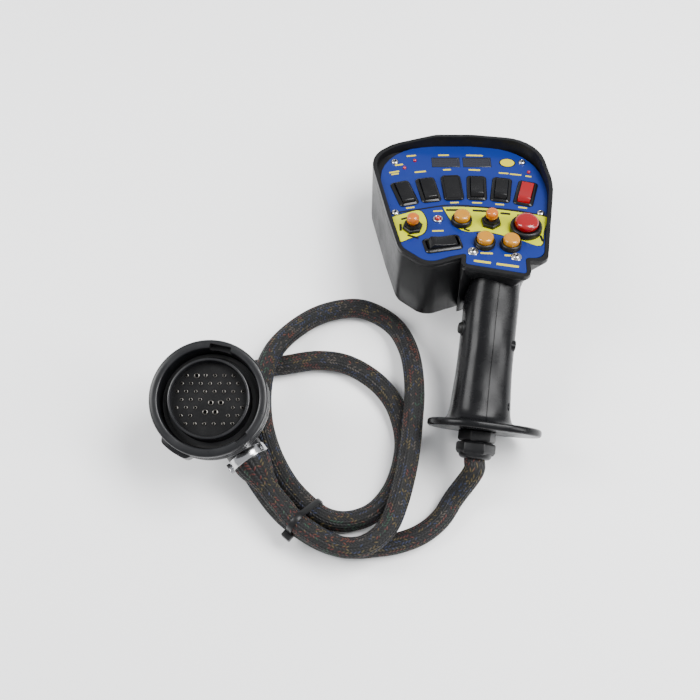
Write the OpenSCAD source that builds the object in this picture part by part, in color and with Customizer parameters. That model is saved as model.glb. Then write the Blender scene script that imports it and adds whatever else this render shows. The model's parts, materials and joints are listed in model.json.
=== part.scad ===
// Hand-held control pendant: a switch box on a pistol grip, with a braided
// cable that ends in a large bayonet connector. Millimetres, +Z up.
// The pendant lies on its back; the origin is under the middle of its box.

/* [Housing] */
// Distance from the panel centre line to the left side of the face plate
side_x = 72; // [68:1:88]
// Distance from the panel centre to the top edge of the face plate
top_y = 74.3; // [72:0.1:90]
// Distance from the panel face to the rear of the housing
housing_depth = 58; // [48:1:70]
// Thickness of the housing walls
wall_t = 3.2; // [2.4:0.1:4]
// Height of the sun hood above the face plate
hood_h = 10; // [6:0.5:12]
// Width of the ledge that carries the face plate
ledge_w = 4.5; // [3.5:0.5:5.5]

/* [Face plate] */
// Thickness of the face plate
plate_t = 2; // [1.5:0.1:2.5]
// Thickness of the gasket under the face plate
gasket_t = 1.5; // [1:0.1:2]
// Diameter of the face plate screws
screw_d = 3; // [2.5:0.1:4]

/* [Rocker switches] */
// Length of a rocker bezel
rocker_l = 30; // [25:0.5:34]
// Width of a rocker bezel
rocker_w = 16.4; // [14:0.2:18.4]
// Angle that a rocker turns from its middle to one end
rocker_throw = 8; // [5:1:10]
// Angle between neighbours in the fanned row
fan_step = 6.4; // [6:0.1:7.4]

/* [Buttons and toggles] */
// Outer diameter of the rubber boot around a push button
boot_d = 16.5; // [14.6:0.1:17]
// Diameter of a push button cap
cap_d = 12.8; // [10:0.2:13.4]
// Travel of a push button
cap_travel = 2.5; // [1.5:0.1:3]
// Outer diameter of the stop button ring
stop_d = 25; // [22:0.5:26]
// Diameter of the toggle knob
knob_d = 9.8; // [8:0.2:10.6]
// Angle that a toggle turns to each side
toggle_throw = 12; // [6:1:13]

/* [Grip] */
// Length of the grip from the neck to the hand guard
grip_len = 94; // [80:1:113]
// Angle between the grip and the face plate
grip_bend = 33; // [26:1:38]
// Thickness of the grip shells
shell_t = 3; // [2.5:0.1:3.6]
// Width of the hand guard
guard_w = 89; // [74:1:107]
// Thickness of the hand guard
guard_t = 6; // [4:0.5:8]

/* [Cable and gland] */
// Diameter of the braided cable
cable_d = 16; // [12:0.5:16]
// Size of the gland hexagons across their flats
gland_af = 26; // [25:0.5:28]

/* [Connector] */
// Outer diameter of the coupling ring
ring_d = 88; // [84:1:105]
// Height of the coupling ring
ring_h = 26; // [22:1:31]
// Outer diameter of the inner shell
shell_d = 61; // [56:1:73]
// Diameter of a signal contact
contact_d = 2.4; // [1.6:0.1:2.6]

/* [Hidden] */

eps = 0.01;
play = 0.3;          // gap between parts that move past each other
fit = 0.05;          // radial gap of a running fit
round_fn = 48;
small_fn = 24;

black = [0.13, 0.13, 0.14];
dark = [0.19, 0.19, 0.2];
blue = [0.1, 0.24, 0.62];
amber = [0.95, 0.62, 0.1];
red = [0.8, 0.08, 0.12];
steel = [0.75, 0.76, 0.78];
brass = [0.8, 0.68, 0.35];

// ---- the pendant's place on the table --------------------------------------
tilt = 18;                       // the face plate slopes down to its top
place_x = -2.1;
place_y = 61.5;
plate_gap = 0.3;
rim = wall_t + plate_gap;        // from the plate's edge to the outside
place_z = (top_y + rim) * sin(tilt) + housing_depth * cos(tilt);

// ---- the face plate's outline: corners as x, y, radius ---------------------
neck_x = 20;
neck_w = 45;
neck_drop = 10.5;                // the neck's lower edge slopes to the right
neck_y = -65.5;
corners = [
    [-side_x, 68, 40], [-19, top_y, 60], [12, top_y, 60],
    [side_x - 9, 67.5, 45], [side_x - 2, 16, 60], [57.5, -59.5, 9],
    [neck_x + neck_w / 2 + 1, -59, 3],
    [neck_x + neck_w / 2, neck_y - neck_drop, 2],
    [neck_x - neck_w / 2, neck_y, 2], [-1, -54, 2],
    [-14, -57.5, 20], [-31, -64.5, 14], [-50, -47.5, 12], [-57.5, -13, 60]
];
arc_steps = 8;

function unit(v) = v / norm(v);
function wrap(a) = a > 180 ? a - 360 : (a < -180 ? a + 360 : a);
function flat(c) = [c.x, c.y];
function arc(a, p, b, r) =
    let (
        u = unit(a - p),
        v = unit(b - p),
        half = acos(u * v) / 2,
        centre = p + unit(u + v) * r / sin(half),
        s = p + u * r / tan(half) - centre,
        e = p + v * r / tan(half) - centre,
        start = atan2(s.y, s.x),
        sweep = wrap(atan2(e.y, e.x) - start)
    )
    [for (k = [0:arc_steps])
        centre + r * [cos(start + sweep * k / arc_steps),
                      sin(start + sweep * k / arc_steps)]];
function rounded(c) =
    let (n = len(c))
    [for (i = [0:n - 1])
        each arc(flat(c[(i + n - 1) % n]), flat(c[i]), flat(c[(i + 1) % n]), c[i].z)];

module outline(grow) offset(r = grow, $fn = small_fn) polygon(rounded(corners));
module slab(low, high, grow)
    translate([0, 0, low]) linear_extrude(high - low) outline(grow);
module box_2d(w, l, r) offset(r = r, $fn = small_fn) square([w - 2 * r, l - 2 * r], center = true);
module post(d, low, high, fn = round_fn)
    translate([0, 0, low]) cylinder(d = d, h = high - low, $fn = fn);

// ---- frames ----------------------------------------------------------------
module placed() translate([place_x, place_y, place_z]) rotate([-tilt, 0, 0]) children();

grip_root = [20.5, -70, -41];
grip_cant = 2.5;
grip_roll = 9;
module in_grip() placed() grip_frame() children();
module grip_frame()
    translate(grip_root) rotate([0, 0, -grip_cant]) rotate([0, grip_roll, 0])
        rotate([grip_bend, 0, 0]) children();

function rot_x(a, v) = [v.x, v.y * cos(a) - v.z * sin(a), v.y * sin(a) + v.z * cos(a)];
function rot_y(a, v) = [v.x * cos(a) + v.z * sin(a), v.y, v.z * cos(a) - v.x * sin(a)];
function rot_z(a, v) = [v.x * cos(a) - v.y * sin(a), v.x * sin(a) + v.y * cos(a), v.z];
function grip_to_panel(v) =
    grip_root + rot_z(-grip_cant, rot_y(grip_roll, rot_x(grip_bend, v)));
function panel_to_table(v) = [place_x, place_y, place_z] + rot_x(-tilt, v);
function grip_to_table(v) = panel_to_table(grip_to_panel(v));

// ---- swept tubes and lofts -------------------------------------------------
function along(p, i) = unit(p[min(i + 1, len(p) - 1)] - p[max(i - 1, 0)]);
function carry(p, i, side) =
    let (t = along(p, i), s = unit(side - t * (side * t)))
    i == len(p) - 1 ? [s] : concat([s], carry(p, i + 1, s));
function tube_points(p, d, n) =
    let (first = along(p, 0),
         sides = carry(p, 0, cross(first, abs(first.z) < 0.9 ? [0, 0, 1] : [1, 0, 0])))
    [for (i = [0:len(p) - 1])
        let (t = along(p, i), s = sides[i], w = cross(t, s))
        for (k = [0:n - 1]) p[i] + (s * cos(360 * k / n) + w * sin(360 * k / n)) * d / 2];
function skin(rings, n) = concat(
    [[for (k = [0:n - 1]) k]],
    [for (i = [0:rings - 2]) for (k = [0:n - 1])
        [i * n + k, (i + 1) * n + k, (i + 1) * n + (k + 1) % n, i * n + (k + 1) % n]],
    [[for (k = [n - 1:-1:0]) (rings - 1) * n + k]]);
module tube(p, d, n) polyhedron(tube_points(p, d, n), skin(len(p), n));

function squircle(w, l, k, n) =
    let (a = 360 * k / n, c = cos(a), s = sin(a))
    [w * sign(c) * pow(abs(c), 0.8), l * sign(s) * pow(abs(s), 0.8)];
// Stations are distance down the grip, half width and half depth.
module grip_loft(stations, inset) {
    n = 28;
    polyhedron(
        [for (s = stations) for (k = [0:n - 1])
            let (q = squircle(s[1] - inset, s[2] - inset, k, n)) [q.x, -s[0], q.y]],
        skin(len(stations), n));
}
function smooth(a, b, c, d, t) =
    0.5 * (2 * b + (c - a) * t + (2 * a - 5 * b + 4 * c - d) * t * t
           + (3 * b - a - 3 * c + d) * t * t * t);
function curve(p, steps) =
    let (n = len(p))
    concat([for (i = [0:n - 2]) for (k = [0:steps - 1])
        smooth(p[max(i - 1, 0)], p[i], p[i + 1], p[min(i + 2, n - 1)], k / steps)],
        [p[n - 1]]);

// ---- housing ---------------------------------------------------------------
rear_t = 3;
ledge_t = 4;
seat_z = -plate_t - gasket_t;
neck_top = -58;
duct_d = 24;
spigot_d = 30;
spigot_len = 14;
boss_d = 9;
boss_len = 16;
pilot_d = screw_d + 2 * fit;
screw_len = 12;
screw_spots = [[-53, 53.5], [53, 53], [-54.5, -9], [61, -9.5], [4, -52.5], [36.5, -58.5]];
hood_low_x = -60;
hood_full_x = -18;
hood_low_y = -52;
hood_full_y = 34;
hood_side_h = 2.5;
reach = 120;

module hood_cut() {
    rotate([90, 0, 0]) translate([0, 0, -reach]) linear_extrude(2 * reach)
        polygon([[-reach, hood_side_h], [hood_low_x, hood_side_h], [hood_full_x, hood_h],
                 [hood_full_x, 2 * hood_h], [-reach, 2 * hood_h]]);
    rotate([90, 0, 90]) translate([0, 0, -reach]) linear_extrude(2 * reach)
        polygon([[-reach, eps], [hood_low_y, eps], [hood_full_y, hood_h],
                 [hood_full_y, 2 * hood_h], [-reach, 2 * hood_h]]);
}

module housing_block() slab(-housing_depth, 0, rim);

module housing() color(black) placed() difference() {
    union() {
        difference() {
            slab(-housing_depth, hood_h, rim);
            hood_cut();
            slab(seat_z, hood_h + 1, plate_gap);
            intersection() {
                slab(rear_t - housing_depth, seat_z - ledge_t, plate_gap);
                translate([-reach, neck_top, -reach]) cube(2 * reach);
            }
            slab(seat_z - ledge_t - eps, seat_z + eps, -ledge_w);
        }
        for (s = screw_spots) translate(s) post(boss_d, seat_z - boss_len, seat_z);
        grip_frame() rotate([90, 0, 0]) post(spigot_d, -6, spigot_len);
    }
    for (s = screw_spots) translate(s) post(pilot_d, seat_z - screw_len, seat_z + 1);
    grip_frame() rotate([90, 0, 0]) post(duct_d, -26, spigot_len + 1);
}

// ---- face plate and what sits in it ----------------------------------------
fan_x = 2.7;
fan_y = 21;
fan_r = 178;
function fan_angle(i) = (2.5 - i) * fan_step;
function fan_spot(i) =
    [fan_x - fan_r * sin(fan_angle(i)), fan_y - fan_r * (1 - cos(fan_angle(i)))];
blank_place = 2;
live_places = [0, 1, 3, 4, 5];
cross_spot = [-19, -44.5];
cross_angle = -78.5;
module at_place(i) translate(fan_spot(i)) rotate(fan_angle(i)) children();
module at_cross() translate(cross_spot) rotate(cross_angle) children();

window_w = 23.4;
window_l = 12.2;
window_spots = [[-10.5, 53.5], [15.5, 53.5]];
led_d = 3;
led_spots = [[-36.3, 55.5], [-45.2, 46], [57.2, 40.5]];
pilot_spot = [-21, -16.5];
pilot_d1 = 8;
pilot_barrel_d = 6;
cap_spots = [[-2.5, -19], [13.5, -44], [33.5, -46]];
stop_spot = [47, -28];
toggle_spots = [[-41.5, -26], [20.5, -20.5]];
barrel_d = 12;
stop_barrel_d = 16;
body_bottom = -20;

frame_wall = 0.8;
bezel_edge = 1.2;
bezel_h = 1.8;
frame_body_l = rocker_l - 2 * bezel_edge;
frame_body_w = rocker_w - 2 * bezel_edge + 0.4;
slot_l = frame_body_l - 2 * frame_wall;
slot_w = frame_body_w - 2 * frame_wall;
rocker_pivot = -4;
trunnion_d = 2.4;
rocker_top = 5;

module plate_holes() {
    frame_hole = [frame_body_w + plate_gap, frame_body_l + plate_gap];
    window_hole = [window_w + plate_gap, window_l + plate_gap];
    for (i = [0:5]) at_place(i) square(frame_hole, center = true);
    at_cross() square(frame_hole, center = true);
    for (s = window_spots) translate(s) square(window_hole, center = true);
}

module face_plate() color(blue) placed() difference() {
    slab(-plate_t, 0, 0);
    translate([0, 0, -plate_t - 1]) linear_extrude(plate_t + 2) plate_holes();
    for (s = led_spots) translate(s) post(led_d + 2 * fit, -plate_t - 1, 1, small_fn);
    translate(pilot_spot) post(pilot_barrel_d + 2 * fit, -plate_t - 1, 1);
    for (s = cap_spots) translate(s) post(barrel_d + 2 * fit, -plate_t - 1, 1);
    for (s = toggle_spots) translate(s) post(barrel_d + 2 * fit, -plate_t - 1, 1);
    translate(stop_spot) post(stop_barrel_d + 2 * fit, -plate_t - 1, 1);
    for (s = screw_spots) translate(s) post(screw_d + 2 * plate_gap, -plate_t - 1, 1);
}

module plate_gasket() color(dark) placed() difference() {
    translate([0, 0, seat_z]) linear_extrude(gasket_t) union() {
        difference() {
            outline(-plate_gap);
            outline(plate_gap - ledge_w);
        }
        intersection() {
            outline(-plate_gap);
            for (s = screw_spots) translate(s) circle(d = boss_d, $fn = round_fn);
        }
    }
    for (s = screw_spots) translate(s) post(screw_d + 2 * plate_gap, seat_z - 1, 1);
}

head_d = 6;
head_h = 2;
module plate_screws() color(steel) placed() for (s = screw_spots) translate(s) difference() {
    union() {
        intersection() {
            post(head_d, 0, head_h);
            translate([0, 0, head_h - head_d]) sphere(r = head_d, $fn = round_fn);
        }
        post(screw_d, seat_z - screw_len + 1, eps);
    }
    post(screw_d, 1, head_h + 1, 6);
}

board_z = -23;
board_t = 1.6;
board_low = [-45, -36];
board_high = [47, 58];
spacer_spots = [[-37, 41.5], [43.5, 40.5], [-30, -27.5], [31.5, -33]];
spacer_d = 5;
module circuit_board() color([0.1, 0.35, 0.2]) placed() difference() {
    translate([board_low.x, board_low.y, board_z])
        cube([board_high.x - board_low.x, board_high.y - board_low.y, board_t]);
    for (s = spacer_spots) translate(s) post(screw_d, board_z - 1, board_z + board_t + 1, small_fn);
}
module board_spacers() color(brass) placed() for (s = spacer_spots) translate(s)
    difference() {
        post(spacer_d, board_z + board_t, -plate_t, 6);
        post(screw_d, board_z, -plate_t - 3, small_fn);
    }

window_lip = 1.2;
window_back = -plate_t - 1.2;
module display_windows() color(dark) placed() for (s = window_spots) translate(s) {
    translate([-window_w / 2, -window_l / 2, -plate_t - eps]) cube([window_w, window_l, plate_t + 0.4]);
    translate([-window_w / 2 - window_lip, -window_l / 2 - window_lip, window_back])
        cube([window_w + 2 * window_lip, window_l + 2 * window_lip, -plate_t - window_back]);
}
module display_modules() color(dark) placed() for (s = window_spots) translate(s) {
    translate([-window_w / 2, -window_l / 2 + 1, window_back - 5]) cube([window_w, window_l - 2, 5]);
    for (x = [-8, 8]) translate([x, -3, board_z + board_t])
        post(2, 0, window_back - 5 - board_z - board_t + eps, small_fn);
}
module indicator_leds() color([0.75, 0.2, 0.2]) placed() for (s = led_spots) translate(s) {
    post(led_d, -plate_t - eps, 0.2, small_fn);
    translate([0, 0, 0.2]) intersection() {
        sphere(d = led_d, $fn = small_fn);
        post(led_d, 0, led_d);
    }
    post(led_d + 1, -plate_t - 1, -plate_t, small_fn);
}
module pilot_bezel() color(steel) placed() translate(pilot_spot) difference() {
    union() {
        post(pilot_d1, 0, 1.6);
        post(pilot_barrel_d, -12, eps);
    }
    post(pilot_barrel_d - 1.2, -1, 2);
}
module pilot_lens() color(red) placed() translate(pilot_spot) {
    post(pilot_barrel_d - 1.4, -1, 1.2);
    translate([0, 0, 1.2]) intersection() {
        sphere(d = pilot_barrel_d - 1.4, $fn = small_fn);
        post(pilot_d1, 0, pilot_d1);
    }
}

// ---- rockers ---------------------------------------------------------------
module frame_shell() difference() {
    union() {
        linear_extrude(bezel_h) box_2d(rocker_w, rocker_l, 2);
        translate([-frame_body_w / 2, -frame_body_l / 2, body_bottom])
            cube([frame_body_w, frame_body_l, eps - body_bottom]);
    }
    translate([-slot_w / 2, -slot_l / 2, body_bottom + 2]) cube([slot_w, slot_l, 2 - body_bottom]);
    translate([0, 0, rocker_pivot]) rotate([0, 90, 0])
        cylinder(d = trunnion_d + 2 * fit, h = rocker_w, center = true, $fn = small_fn);
}
module rocker_frames() color(dark) placed() {
    for (i = live_places) at_place(i) frame_shell();
    at_cross() frame_shell();
}
module blank_plug() color(dark) placed() at_place(blank_place) {
    linear_extrude(bezel_h) box_2d(rocker_w, rocker_l, 2);
    translate([-frame_body_w / 2, -frame_body_l / 2, -plate_t - 4])
        cube([frame_body_w, frame_body_l, plate_t + 4 + eps]);
}
module paddle(start) translate([0, 0, rocker_pivot]) rotate([start, 0, 0]) {
    w = slot_w - 2 * play;
    intersection() {
        rotate([0, 90, 0]) cylinder(r = slot_l / 2 - play, h = w, center = true, $fn = 96);
        rotate([90, 0, 90]) translate([0, 0, -w / 2]) linear_extrude(w)
            polygon([[-slot_l, -5], [slot_l, -5], [slot_l, rocker_top - rocker_pivot],
                     [0, rocker_top - rocker_pivot - 0.8], [-slot_l, rocker_top - rocker_pivot]]);
    }
    rotate([0, 90, 0]) cylinder(d = trunnion_d, h = frame_body_w, center = true, $fn = small_fn);
}
module rocker_1() color(dark) placed() at_place(0) paddle(rocker_throw);
module rocker_2() color(dark) placed() at_place(1) paddle(rocker_throw);
module rocker_3() color(dark) placed() at_place(3) paddle(0);
module rocker_4() color(dark) placed() at_place(4) paddle(0);
module rocker_5() color(red) placed() at_place(5) paddle(0);
module rocker_cross() color(dark) placed() at_cross() paddle(-rocker_throw);

// ---- push buttons ----------------------------------------------------------
boot_h = 4.5;
boot_floor = 1;
cap_base = boot_floor + cap_travel + play;
cap_top = cap_base + 5.2;
stem_d = 8;
stem_bottom = -8;
chamber_bottom = -14.5;
spring_wire = 0.8;

module boot(ring_outer, ring_high, bore, barrel, stem, chamber) difference() {
    union() {
        post(ring_outer, 0, ring_high - 1);
        translate([0, 0, ring_high - 1])
            cylinder(d1 = ring_outer, d2 = ring_outer - 2, h = 1, $fn = round_fn);
        post(barrel, chamber - 1.5, eps);
    }
    post(bore, boot_floor, ring_high + 1);
    post(stem + 2 * fit, chamber, ring_high);
}
module cap(outer, low, high, stem, bottom) {
    intersection() {
        post(outer, low, high);
        translate([0, 0, high - outer * 0.7]) sphere(r = outer * 0.7, $fn = round_fn);
    }
    post(stem, bottom, low + eps);
}
function helix(r, low, high, turns) =
    let (n = turns * 10)
    [for (k = [0:n]) [r * cos(36 * k), r * sin(36 * k), low + (high - low) * k / n]];
module spring(outer, low, high, turns)
    tube(helix((outer - spring_wire) / 2, low + spring_wire / 2, high - spring_wire / 2, turns),
         spring_wire, 6);

module button_boots() color(black) placed() for (s = cap_spots) translate(s)
    boot(boot_d, boot_h, cap_d + 2 * play, barrel_d, stem_d, chamber_bottom);
module button_cap(i) color(amber) placed() translate(cap_spots[i])
    cap(cap_d, cap_base, cap_top, stem_d, stem_bottom);
module button_cap_1() button_cap(0);
module button_cap_2() button_cap(1);
module button_cap_3() button_cap(2);
module button_spring(i) color(steel) placed() translate(cap_spots[i])
    spring(stem_d - 1, chamber_bottom, stem_bottom, 4);
module button_spring_1() button_spring(0);
module button_spring_2() button_spring(1);
module button_spring_3() button_spring(2);

stop_h = 5.5;
stop_travel = 4;
stop_cap_d = 18.6;
stop_base = boot_floor + stop_travel + play;
stop_top = stop_base + 6;
stop_stem_d = 10;
stop_bottom = -10;
stop_chamber = -18;
module stop_ring() color(black) placed() translate(stop_spot)
    boot(stop_d, stop_h, stop_cap_d + 2 * play, stop_barrel_d, stop_stem_d, stop_chamber);
module stop_cap() color(red) placed() translate(stop_spot)
    cap(stop_cap_d, stop_base, stop_top, stop_stem_d, stop_bottom);
module stop_spring() color(steel) placed() translate(stop_spot)
    spring(stop_stem_d - 1, stop_chamber, stop_bottom, 4);

// ---- toggles ---------------------------------------------------------------
nut_af = 14;
nut_h = 3.2;
bushing_top = 5;
toggle_body_w = 12.6;
toggle_bore = 7.5;
toggle_pivot = 1;
toggle_pin_d = 2;
toggle_stem_d = 3.4;
knob_low = 6.6;
knob_high = 13.5;
module hexagon(af, low, high) post(af / cos(30), low, high, 6);

module toggle_bodies() color(dark) placed() for (s = toggle_spots) translate(s) difference() {
    union() {
        post(barrel_d, -plate_t - 4, bushing_top);
        translate([-toggle_body_w / 2, -toggle_body_w / 2, body_bottom])
            cube([toggle_body_w, toggle_body_w, -plate_t - body_bottom]);
    }
    post(toggle_bore, body_bottom + 3, bushing_top + 1);
    translate([0, 0, toggle_pivot]) rotate([0, 90, 0])
        cylinder(d = toggle_pin_d + 2 * fit, h = toggle_bore + 2.6, center = true, $fn = small_fn);
}
module toggle_nuts() color(black) placed() for (s = toggle_spots) translate(s) difference() {
    hexagon(nut_af, 0, nut_h);
    post(barrel_d + 2 * fit, -1, nut_h + 1);
}
module toggle_lever(i) color(amber) placed() translate(toggle_spots[i]) {
    post(toggle_stem_d, toggle_pivot - 6, knob_low + eps, small_fn);
    intersection() {
        post(knob_d, knob_low, knob_high);
        translate([0, 0, knob_high - knob_d * 0.55]) sphere(r = knob_d * 0.55, $fn = round_fn);
    }
    translate([0, 0, toggle_pivot]) rotate([0, 90, 0])
        cylinder(d = toggle_pin_d, h = toggle_bore + 2, center = true, $fn = small_fn);
}
module toggle_lever_1() toggle_lever(0);
module toggle_lever_2() toggle_lever(1);

// ---- grip ------------------------------------------------------------------
grip_w = 21;
grip_d = 21.5;
grip_stations = [
    [-22, grip_w - 1, grip_d], [0, grip_w, grip_d], [18, grip_w, grip_d],
    [grip_len * 0.45, grip_w, grip_d], [grip_len * 0.7, grip_w + 1, grip_d + 1],
    [grip_len * 0.9, grip_w + 2, grip_d + 1.5], [grip_len, grip_w + 3.5, grip_d + 3]
];
guard_r = 35.7;
guard_shift = 5;
gland_thread_d = 20;
grip_screw_spots = [[-32, 12.5], [-56, -12], [-80, 12.5]];
grip_boss_d = 7.5;
finger_spot = [-22, 2];
finger_d = 9.6;
finger_out = 3.5;
finger_travel = 2;
finger_seat = 13;
finger_body = [7.5, 13, 13];

module guard() rotate([90, 0, 0]) translate([0, 0, grip_len]) linear_extrude(guard_t)
    hull() for (x = [-1, 1])
        translate([guard_shift + x * (guard_w / 2 - guard_r), 0]) circle(r = guard_r, $fn = 96);
module along_x(d, low, high, fn = small_fn)
    translate([low, 0, 0]) rotate([0, 90, 0]) cylinder(d = d, h = high - low, $fn = fn);

module grip_solid() difference() {
    union() {
        difference() {
            grip_loft(grip_stations, 0);
            grip_loft(grip_stations, shell_t);
        }
        guard();
        intersection() {
            grip_loft(grip_stations, eps);
            for (s = grip_screw_spots) translate([0, s[0], s[1]])
                along_x(grip_boss_d, -grip_w - 4, grip_w + 4);
        }
    }
    for (s = grip_screw_spots) translate([0, s[0], s[1]]) {
        along_x(screw_d + 2 * fit, -grip_w + 4, grip_w + 6);
        along_x(head_d + 2 * fit, grip_w - 6, grip_w + 6);
    }
    rotate([90, 0, 0]) post(gland_thread_d + 2 * fit, grip_len - 6, grip_len + guard_t + 1);
    translate([0, finger_spot[0], finger_spot[1]]) along_x(finger_d + 2 * fit, -grip_w - 9, 0);
}
module grip_half(side) in_grip() difference() {
    intersection() {
        grip_solid();
        translate([side > 0 ? 0 : -reach, -reach - grip_len, -reach])
            cube([reach, 2 * reach + grip_len, 2 * reach]);
    }
    rotate([90, 0, 0]) post(spigot_d + 2 * plate_gap, -30, spigot_len + plate_gap);
    unplace_grip() housing_block();
}
module unplace_grip()
    rotate([-grip_bend, 0, 0]) rotate([0, -grip_roll, 0]) rotate([0, 0, grip_cant])
        translate(-grip_root) children();
module grip_left() color(black) grip_half(-1);
module grip_right() color(black) grip_half(1);
module grip_screws() color(steel) in_grip() for (s = grip_screw_spots) translate([0, s[0], s[1]]) {
    along_x(screw_d, -grip_w + 5, grip_w - 6 + eps);
    along_x(head_d, grip_w - 6, grip_w - 4);
}
module finger_switch() color(dark) in_grip() translate([0, finger_spot[0], finger_spot[1]])
    difference() {
        translate([-finger_seat, -finger_body.y / 2, -finger_body.z / 2]) cube(finger_body);
        along_x(4 + 2 * fit, -finger_seat - 1, -finger_seat + 6);
    }
module finger_button() color(black) in_grip() translate([0, finger_spot[0], finger_spot[1]]) {
    intersection() {
        along_x(finger_d, -grip_w - finger_out, -finger_seat - finger_travel - play, round_fn);
        translate([-grip_w - finger_out + 9, 0, 0]) sphere(r = 9, $fn = round_fn);
    }
    along_x(4, -finger_seat - finger_travel - play - eps, -finger_seat + 3);
}

// ---- gland, loom and cable -------------------------------------------------
gland_start = grip_len + guard_t;
gland_hex_h = 9;
cap_start = gland_start + gland_hex_h;
gland_cap_h = 13;
gland_end = cap_start + gland_cap_h;
gland_bore = 12.5;
seal_d = 21.5;
seal_h = 7;
lock_h = 4.5;
loom_d = 9;
module down() in_grip() rotate([90, 0, 0]) children();
module gland_body() color(black) down() difference() {
    union() {
        hexagon(gland_af, gland_start, cap_start);
        post(gland_thread_d, grip_len - 8, gland_start + eps);
    }
    post(gland_bore, grip_len - 9, cap_start + 1);
}
module gland_nut() color(black) down() difference() {
    hexagon(gland_af - 1, grip_len - lock_h, grip_len);
    post(gland_thread_d + 2 * fit, grip_len - lock_h - 1, grip_len + 1);
}
module gland_seal() color(dark) down() difference() {
    post(seal_d, cap_start, cap_start + seal_h);
    post(cable_d + 0.2, cap_start - 1, cap_start + seal_h + 1);
}
module gland_cap() color(black) down() rotate(18) difference() {
    intersection() {
        hexagon(gland_af + 1, cap_start, gland_end);
        translate([0, 0, cap_start - 20])
            cylinder(gland_cap_h + 20, gland_af / 2 + 14.5, gland_af / 2 + 0.6, $fn = round_fn);
    }
    post(seal_d + 2 * fit, cap_start - 1, cap_start + seal_h);
    post(cable_d + 0.6, cap_start, gland_end + 1);
}
loom_route = concat(
    [[14, -20, board_z - 2 * play], [14, -20, -26], [14, -21, -29], [18, -34, -34], [20, -48, -38]],
    [for (t = [2, 14, 30, 50, 70, 86, cap_start]) grip_to_panel([0, -t, 0])]);
module wire_loom() color([0.2, 0.2, 0.3]) placed() tube(curve(loom_route, 3), loom_d, 10);

// The cable lies on the table in two turns. Points are x, y and height.
gland_lead = [for (t = [cap_start, gland_end, gland_end + 10]) grip_to_table([0, -t, 0])];
cable_lay = [
    [-11, -160, 11], [-22, -176, 8], [-37, -188, 8], [-55, -195, 8],
    [-73, -198, 8], [-91, -199, 8], [-111, -195, 8.8], [-133, -182.5, 9.6],
    [-151, -166, 9], [-171, -138, 8], [-186, -112, 8], [-194, -91, 8],
    [-192, -71, 8], [-181, -57, 8], [-165, -51, 8], [-146, -48, 8],
    [-120, -44, 8], [-97, -47, 8], [-77, -58, 8], [-62, -73, 8],
    [-53, -91, 8], [-49, -113, 8], [-52, -135, 8], [-60, -155, 8],
    [-74, -171, 8], [-92, -178, 8], [-108, -177, 8.6], [-121.5, -169.5, 9.6],
    [-139, -152, 9.6], [-152, -131, 12], [-160, -110, 17], [-163, -92, 22],
    [-163, -73, 24.5], [-160, -54, 24.5], [-152, -36, 21], [-139, -19, 14],
    [-122, -5, 9], [-103, 2, 8], [-84, 3, 8], [-67, -4, 8],
    [-54, -16, 10], [-46, -33, 15], [-42, -54, 22], [-41, -78, 24.5],
    [-43, -102, 24.5], [-46, -127, 24.5], [-50, -147, 24.5], [-56, -168, 24.5],
    [-64, -186, 24.5], [-77, -198, 24.5], [-93, -202, 24.5], [-111, -197, 25],
    [-133, -183, 26.2], [-143, -172, 27.3]
];
sleeve_len = 22;

// ---- connector -------------------------------------------------------------
conn_place = [-197.2, -102.7, 83];   // the middle of the mating face
conn_lean = 10;                      // the far edge is the higher one
outlet_turn = -56;                   // the outlet points to the lower right
backshell_d = 48;
backshell_h = 32;
backshell_rim_d = 60;
backshell_rim_h = 2;
outlet_d = 29;
outlet_z = -ring_h - outlet_d / 2 - backshell_rim_h - 0.5;
outlet_reach = 52;
outlet_twist = 20;
clamp_w = 7.5;
clamp_t = 1.2;
module in_connector() translate(conn_place) rotate([conn_lean, 0, 0]) children();
module in_outlet()
    in_connector() translate([0, 0, outlet_z]) rotate([0, 0, outlet_turn]) rotate([0, 90, 0]) children();
function outlet_to_table(d) =
    conn_place + rot_x(conn_lean, [d * cos(outlet_turn), d * sin(outlet_turn), outlet_z]);
sleeve_start = outlet_reach;
cable_tail = [for (d = [8, 0]) outlet_to_table(sleeve_start + sleeve_len + d)];
cable_route = concat(gland_lead, cable_lay, cable_tail);
module cable() color(dark) tube(cable_route, cable_d, 12);

module sleeve_end() color(dark) in_outlet() translate([0, 0, sleeve_start])
    cylinder(d1 = outlet_d, d2 = cable_d + 1, h = sleeve_len, $fn = round_fn);
module band_clamp() color(steel) in_outlet() difference() {
    union() {
        post(outlet_d + 2 * clamp_t, outlet_reach - clamp_w - 1, outlet_reach - 1);
        translate([-4.5, -outlet_d / 2 - 3.4, outlet_reach - clamp_w - 1]) cube([9, 4, clamp_w]);
    }
    post(outlet_d, outlet_reach - clamp_w - 2, outlet_reach);
}

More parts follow.
